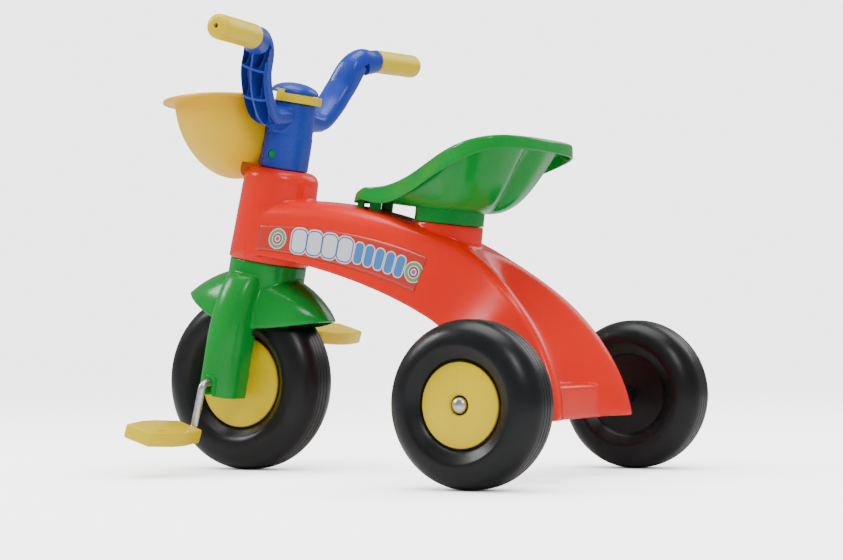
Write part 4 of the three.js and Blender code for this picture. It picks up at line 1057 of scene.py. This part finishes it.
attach(bar, "steering")
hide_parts("handlebar")

# ==== Grips =======================================================================================
# Yellow plastic sleeves pushed over the ends of the handlebar, round-ended, with a small hole
# through which the blue core shows.
grip_yellow = moulded_plastic("grip_yellow", (0.92, 0.68, 0.0), (0.86, 0.62, 0.0), 0.25, 0.36, relief=0.14)
grip_length = 76 * mm
for hand, side in (("left", 1), ("right", -1)):
    corner = 8 * mm
    end = [(13 * mm - corner + corner * math.cos(a), grip_length - corner + corner * math.sin(a))
           for a in np.linspace(0, math.pi / 2, 12)]
    grip = turned(f"grip_{hand}_sleeve",
                  [(9.8 * mm, 0.3 * mm), (12.4 * mm, 0.3 * mm), (13 * mm, 0.9 * mm), *end,
                   (3.1 * mm, grip_length), (2.6 * mm, grip_length - 0.5 * mm),
                   (2.6 * mm, grip_length - 5.7 * mm), (9.8 * mm, grip_length - 5.7 * mm)], 96, 40)
    placed(placed(grip, along_grip(side)), from_steering)
    grip.data.materials.append(grip_yellow)
    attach(grip, "steering")
    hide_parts(f"grip_{hand}")

# ==== Locking clip and cap ========================================================================
# A yellow horseshoe clip slides in between the top of the stem and the domed blue cap. One end has a
# raised thumb tab and the other a square end that stands proud.
clip_low, clip_high = stem_top + 0.3 * mm, stem_top + 9.3 * mm
clip_angles = [math.radians(a) for a in np.linspace(-10, 150, 60)]
clip_inner, clip_outer = column_room, 28 * mm
outline = [(clip_outer * math.cos(a), clip_outer * math.sin(a)) for a in clip_angles]
outline += [(clip_inner * math.cos(a), clip_inner * math.sin(a)) for a in reversed(clip_angles)]
clip = lofted("clip", [[np.array([x, y, z]) for x, y in outline] for z in (clip_low, clip_high)])


def boxed(name, low, high, spin):
    corners = [(low[0], low[1]), (high[0], low[1]), (high[0], high[1]), (low[0], high[1])]
    made = lofted(name, [[np.array([x, y, z]) for x, y in corners] for z in (low[2], high[2])])
    return placed(made, Matrix.Rotation(math.radians(spin), 4, "Z"))


tab_low, tab_high = clip_low + 2 * mm, clip_high + 4 * mm
for tab in (boxed("thumb_tab", (21.3 * mm, -4 * mm, tab_low), (clip_outer, 4 * mm, tab_high), 0),
            boxed("square_end", (column_room, -5 * mm, clip_low), (30 * mm, 5 * mm, clip_high), 139)):
    remade(clip, ("BOOLEAN", {"operation": "UNION", "solver": "EXACT", "object": tab}))
    bpy.data.objects.remove(tab)
remade(clip, ("BEVEL", {"width": 0.9 * mm, "segments": 4, "limit_method": "ANGLE",
                        "angle_limit": math.radians(40)}))
placed(clip, from_steering)
finished(clip, "locking_clip_moulding", grip_yellow, 50)
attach(clip, "steering")
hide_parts("locking_clip")

cap_low = clip_high + 0.3 * mm
dome = [(26 * mm * math.cos(a), cap_low + 1.5 * mm + 11 * mm * math.sin(a))
        for a in np.linspace(0, math.pi / 2, 24)]
dome[-1] = (0, dome[-1][1])
cap = upright("column_cap_dome", [(0, stem_top - 5.7 * mm), (19.4 * mm, stem_top - 5.7 * mm),
                                  (20 * mm, stem_top - 5 * mm), (20 * mm, cap_low), (25.6 * mm, cap_low),
                                  (26 * mm, cap_low + 0.5 * mm), *dome], 128)
cut(cap, boxed("tab_room", (19.3 * mm, -4.3 * mm, clip_high), (33 * mm, 4.3 * mm, clip_high + 4.3 * mm), 0))
placed(cap, from_steering)
finished(cap, "column_cap_dome", bar_blue, 40)
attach(cap, "steering")
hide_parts("column_cap")

# ==== Bucket ======================================================================================
# A toy bucket moulded in golden yellow: a round bowl with a flat back hollowed round the stem, and a
# flat flange rolled down at its edge. Two screws hold it on the stem.
rim_z = axis_z(stem_top) + 6.4 * mm
bucket_depth, bucket_wall = 86 * mm, 2.6 * mm


def bucket_ring(depth, outward, z):
    share = min(1, depth / bucket_depth)
    swell = (1 - share ** 1.9) ** (1 / 1.9)
    half = max(3 * mm, 81 * mm * swell) + outward
    front = between(18, 82, swell) * mm + outward
    back = between(15, -40, (1 - share ** 3.2) ** (1 / 2.1)) * mm - outward
    widest = between(18, -3, swell) * mm
    ring = []
    for t in np.linspace(0, 2 * math.pi, 144, endpoint=False):
        x, y = math.cos(t), math.sin(t)
        across = math.copysign(abs(x) ** (0.8 if y < 0 else 1), x)
        ahead = between(widest, front, y) if y > 0 else between(widest, back, -y)
        ring.append(np.array([half * across, front_y - ahead, z]))
    return ring


def bowl_rings(inset):
    depths = [bucket_depth * math.sin(a) for a in np.linspace(0, math.pi / 2, 40)]
    lifts = [inset * d / bucket_depth if d > 50 * mm else 0 for d in depths]
    return [bucket_ring(d, -inset, rim_z - d + lift) for d, lift in zip(depths, lifts)]


flange = lofted("flange", [bucket_ring(0, out * mm, rim_z - drop * mm) for out, drop in (
    (-1, 3.6), (7, 3.6), (10.4, 4.0), (11.6, 4.6), (12.4, 4.6), (13, 3.8), (13, 2.4), (12.4, 1.2),
    (11.4, 0.5), (10, 0.15), (7, 0))])
bowl = lofted("bowl", bowl_rings(0))
bucket = joined(bowl, flange)


def stem_room(gap):
    made = upright("stem_room", [(0, head_top - 40 * mm), (27 * mm + gap, head_top - 40 * mm),
                                 (27 * mm + gap, stem_top - 0.3 * mm), (28.3 * mm + gap, stem_top - 0.3 * mm),
                                 (28.3 * mm + gap, stem_top + 40 * mm), (0, stem_top + 40 * mm)])
    return placed(made, from_steering)


def head_room(gap):
    return placed(rod("head_room", 46 * mm + gap, head_bottom, head_top + 2 * mm + gap, "z"), from_steering)


hollow = lofted("bowl_hollow", [bucket_ring(0, -bucket_wall, rim_z + 6 * mm), *bowl_rings(bucket_wall)])
cut(hollow, stem_room(0.3 * mm + bucket_wall), head_room(bucket_wall))
cut(bucket, stem_room(0.3 * mm), hollow, head_room(0),
    *[placed(placed(rod("hole", 2.5 * mm, -60 * mm, -10 * mm, "y"), Matrix.Translation((0, 0, h))),
             from_steering) for h in screw_heights])
bucket_yellow = moulded_plastic("bucket_yellow", (1.0, 0.62, 0.0), (0.97, 0.57, 0.0), 0.32, 0.44, clouds=12,
                                grain=1000, relief=0.14)
finished(bucket, "bucket_moulding", bucket_yellow, 40)
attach(bucket, "steering")
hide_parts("bucket")

# ==== Front wheel =================================================================================
# A larger hollow wheel in black plastic, gripped by the steel crank that drives it, with a yellow
# disc pressed into each side.
front_dish = (50.6 * mm, 13.9 * mm)
front_place = Matrix.Translation((0, front_y, front_radius))
wheel = turned("front_wheel_moulding", wheel_outline(front_radius, front_half, *front_dish, 4.3 * mm,
                                                     (-6 * mm, 0, 6 * mm)), 180, 30)
placed(wheel, front_place)
wheel.data.materials.append(tyre_black)
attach(wheel, "front_wheel_set")
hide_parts("front_wheel")
for hand, side in (("left", 1), ("right", -1)):
    disc = turned(f"front_hub_cap_{hand}_disc",
                  hub_cap_outline(front_dish[0] - 0.7 * mm, 4.3 * mm, 2.4 * mm, 0.8 * mm), 140, 40)
    placed(disc, front_place @ Matrix.Translation((side * (front_half - front_dish[1] + 0.3 * mm), 0, 0))
           @ Matrix.Diagonal((side, 1, 1, 1)))
    disc.data.materials.append(hub_yellow)
    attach(disc, "front_wheel_set")
    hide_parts(f"front_hub_cap_{hand}")

# ==== Crank =======================================================================================
# One zinc-plated steel rod, bent twice on each side of the wheel. Its ends are the pedal pins.
crank_radius, crank_length, crank_bend = 4 * mm, 53.6 * mm, 8 * mm
crank_forward = math.radians(14)
crank_x = leg_outer + 12.5 * mm
arm_down = Vector((0, -math.sin(crank_forward), -math.cos(crank_forward)))
pedal_inner = crank_x + crank_bend + 0.3 * mm
pedal_length = 88 * mm
pin_end = pedal_inner + pedal_length - 6.3 * mm


def crank_path():
    """Places (along X, along the arm) and headings from the middle of the wheel to a pin's end."""
    path = [((0, 0), (1, 0))]
    for a in np.linspace(-math.pi / 2, 0, 12):
        path.append(((crank_x - crank_bend + crank_bend * math.cos(a), crank_bend + crank_bend * math.sin(a)),
                     (-math.sin(a), math.cos(a))))
    for a in np.linspace(math.pi, math.pi / 2, 12):
        path.append(((crank_x + crank_bend + crank_bend * math.cos(a),
                      crank_length - crank_bend + crank_bend * math.sin(a)), (math.sin(a), -math.cos(a))))
    path.append(((pin_end - 0.8 * mm, crank_length), (1, 0)))
    return path


def crank_ring(place, heading, side, radius):
    centre = Vector((side * place[0], 0, 0)) + arm_down * (side * place[1])
    along = (Vector((heading[0], 0, 0)) + arm_down * heading[1]).normalized()
    across = arm_down.cross(Vector((1, 0, 0)))
    normal = across.cross(along)
    return [np.array(centre + normal * (radius * math.cos(a)) + across * (radius * math.sin(a)))
            for a in np.linspace(0, 2 * math.pi, 40, endpoint=False)]


path = crank_path()
tip = ((pin_end, crank_length), (1, 0))
rings = [crank_ring(*tip, -1, crank_radius - 0.8 * mm)]
rings += [crank_ring(*stop, -1, crank_radius) for stop in reversed(path[1:])]
rings += [crank_ring(*stop, 1, crank_radius) for stop in path]
rings += [crank_ring(*tip, 1, crank_radius - 0.8 * mm)]
crank = placed(lofted("crank_rod", rings, 35), front_place)
crank_steel = plated_steel("crank_steel", (0.7, 0.71, 0.72), (0.44, 0.45, 0.46), (0.15, 1, 1))
crank.data.materials.append(crank_steel)
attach(crank, "front_wheel_set")
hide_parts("crank")

# ==== Pedals ======================================================================================
# Solid-looking yellow pedals, widest in the middle, with bevelled edges and a small moulded slit.
# They turn freely on the pins of the crank.
pedal_yellow = moulded_plastic("pedal_yellow", (0.94, 0.7, 0.0), (0.88, 0.64, 0.0), 0.26, 0.38, relief=0.14)
pedal_thick, pedal_narrow, pedal_wide = 15 * mm, 34 * mm, 47 * mm
for hand, side in (("left", 1), ("right", -1)):
    middle = pedal_inner + pedal_length / 2
    outer = pedal_inner + pedal_length
    front = [(pedal_inner, -pedal_narrow / 2), (middle - 10 * mm, -pedal_wide / 2),
             (middle + 10 * mm, -pedal_wide / 2), (outer, -pedal_narrow / 2)]
    plan = front + [(x, -y) for x, y in reversed(front)]
    faces = [[np.array([x, y, z]) for x, y in plan] for z in (-pedal_thick / 2, pedal_thick / 2)]
    pedal = lofted("pedal", faces)
    remade(pedal, ("BEVEL", {"width": 2.2 * mm, "segments": 5, "limit_method": "ANGLE",
                             "angle_limit": math.radians(25)}))
    cut(pedal, rod("pin_bore", 4.3 * mm, pedal_inner - 5 * mm, pin_end + 0.3 * mm),
        boxed("slit", (outer - 30 * mm, 10 * mm, pedal_thick / 2 - 3 * mm),
              (outer - 18 * mm, 11.6 * mm, pedal_thick), 0))
    pin = front_place @ Matrix.Translation(arm_down * (side * crank_length))
    placed(pedal, pin @ Matrix.Diagonal((side, 1, 1, 1)) @ Matrix.Rotation(-math.radians(17), 4, "X"))
    finished(pedal, f"pedal_{hand}_moulding", pedal_yellow, 30)
    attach(pedal, f"pedal_{hand}_body")
    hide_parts(f"pedal_{hand}")

# ==== Studio ======================================================================================
# A wide, pale, plain floor that runs out into white air, with soft lights above and on both sides.
# Floor and air look brighter to the camera than the light that they give. Near the tricycle the floor's
# glow is dimmed by ambient occlusion: a painted contact shadow.


def studio_floor():
    points = [(x, y, 0) for x, y in ((-9, -9), (9, -9), (9, 9), (-9, 9))]
    floor = body_from("studio_floor", points, [(0, 1, 2, 3)], 60)
    material = bpy.data.materials.new("studio_white")
    material.use_nodes = True
    shader = material.node_tree.nodes["Principled BSDF"]
    shader.inputs["Base Color"].default_value = (0.9, 0.9, 0.9, 1)
    shader.inputs["Roughness"].default_value = 0.7
    shader.inputs["Specular IOR Level"].default_value = 0.1
    shader.inputs["Emission Color"].default_value = (1, 1, 1, 1)
    nodes, links = material.node_tree.nodes, material.node_tree.links
    seen = nodes.new("ShaderNodeLightPath")
    glow = nodes.new("ShaderNodeMath")
    glow.operation = "MULTIPLY"
    glow.inputs[1].default_value = 3.2
    # Painted contact shadow: ambient occlusion dims the floor's camera-only glow near the tricycle.
    shade_near = nodes.new("ShaderNodeAmbientOcclusion")
    shade_near.inputs["Distance"].default_value = 0.16
    camera_glow_painted_shadow = nodes.new("ShaderNodeMath")
    camera_glow_painted_shadow.operation = "MULTIPLY"
    links.new(seen.outputs["Is Camera Ray"], camera_glow_painted_shadow.inputs[0])
    links.new(shade_near.outputs["AO"], camera_glow_painted_shadow.inputs[1])
    links.new(camera_glow_painted_shadow.outputs["Value"], glow.inputs[0])
    links.new(glow.outputs["Value"], shader.inputs["Emission Strength"])
    floor.data.materials.append(material)


def soft_light(name, place, aim, size, power, tall=None):
    data = bpy.data.lights.new(name, "AREA")
    data.energy = power
    data.shape = "RECTANGLE"
    data.size = size
    data.size_y = tall or size
    light = bpy.data.objects.new(name, data)
    bpy.context.scene.collection.objects.link(light)
    light.location = place
    light.rotation_euler = (Vector(aim) - Vector(place)).to_track_quat("-Z", "Y").to_euler()


studio_floor()
middle = (0, 0.02, 0.2)
soft_light("overhead", (0.1, 0.0, 2.2), middle, 1.5, 40)
soft_light("front_left", (0.9, -2.0, 1.7), middle, 0.7, 36, 0.9)
soft_light("rear_left", (1.5, 1.7, 1.9), middle, 0.6, 24, 0.8)
soft_light("behind", (-1.6, 0.6, 1.4), middle, 1.2, 12)
world = bpy.data.worlds.new("studio_air")
world.use_nodes = True
world.node_tree.nodes["Background"].inputs["Color"].default_value = (1, 1, 1, 1)
air = world.node_tree.nodes
bright = air.new("ShaderNodeMapRange")
bright.inputs["To Min"].default_value = 0.42
bright.inputs["To Max"].default_value = 3.6
world.node_tree.links.new(air.new("ShaderNodeLightPath").outputs["Is Camera Ray"], bright.inputs["Value"])
world.node_tree.links.new(bright.outputs["Result"], air["Background"].inputs["Strength"])
bpy.context.scene.world = world

ahead = Vector((-0.8614, -0.5073, 0.0276)).normalized()
level_right = ahead.cross(Vector((0, 0, 1))).normalized()
level_up = level_right.cross(ahead)
lean = math.radians(-0.5)
right = level_right * math.cos(lean) + level_up * math.sin(lean)
up = level_up * math.cos(lean) - level_right * math.sin(lean)
lens = bpy.data.cameras.new("camera")
lens.lens = 89.44
lens.sensor_width = 36
camera = bpy.data.objects.new("camera", lens)
bpy.context.scene.collection.objects.link(camera)
turn = Matrix((right, up, -ahead)).transposed().to_4x4()
camera.matrix_world = Matrix.Translation((1.8957, 1.1537, 0.1428)) @ turn
bpy.context.scene.camera = camera
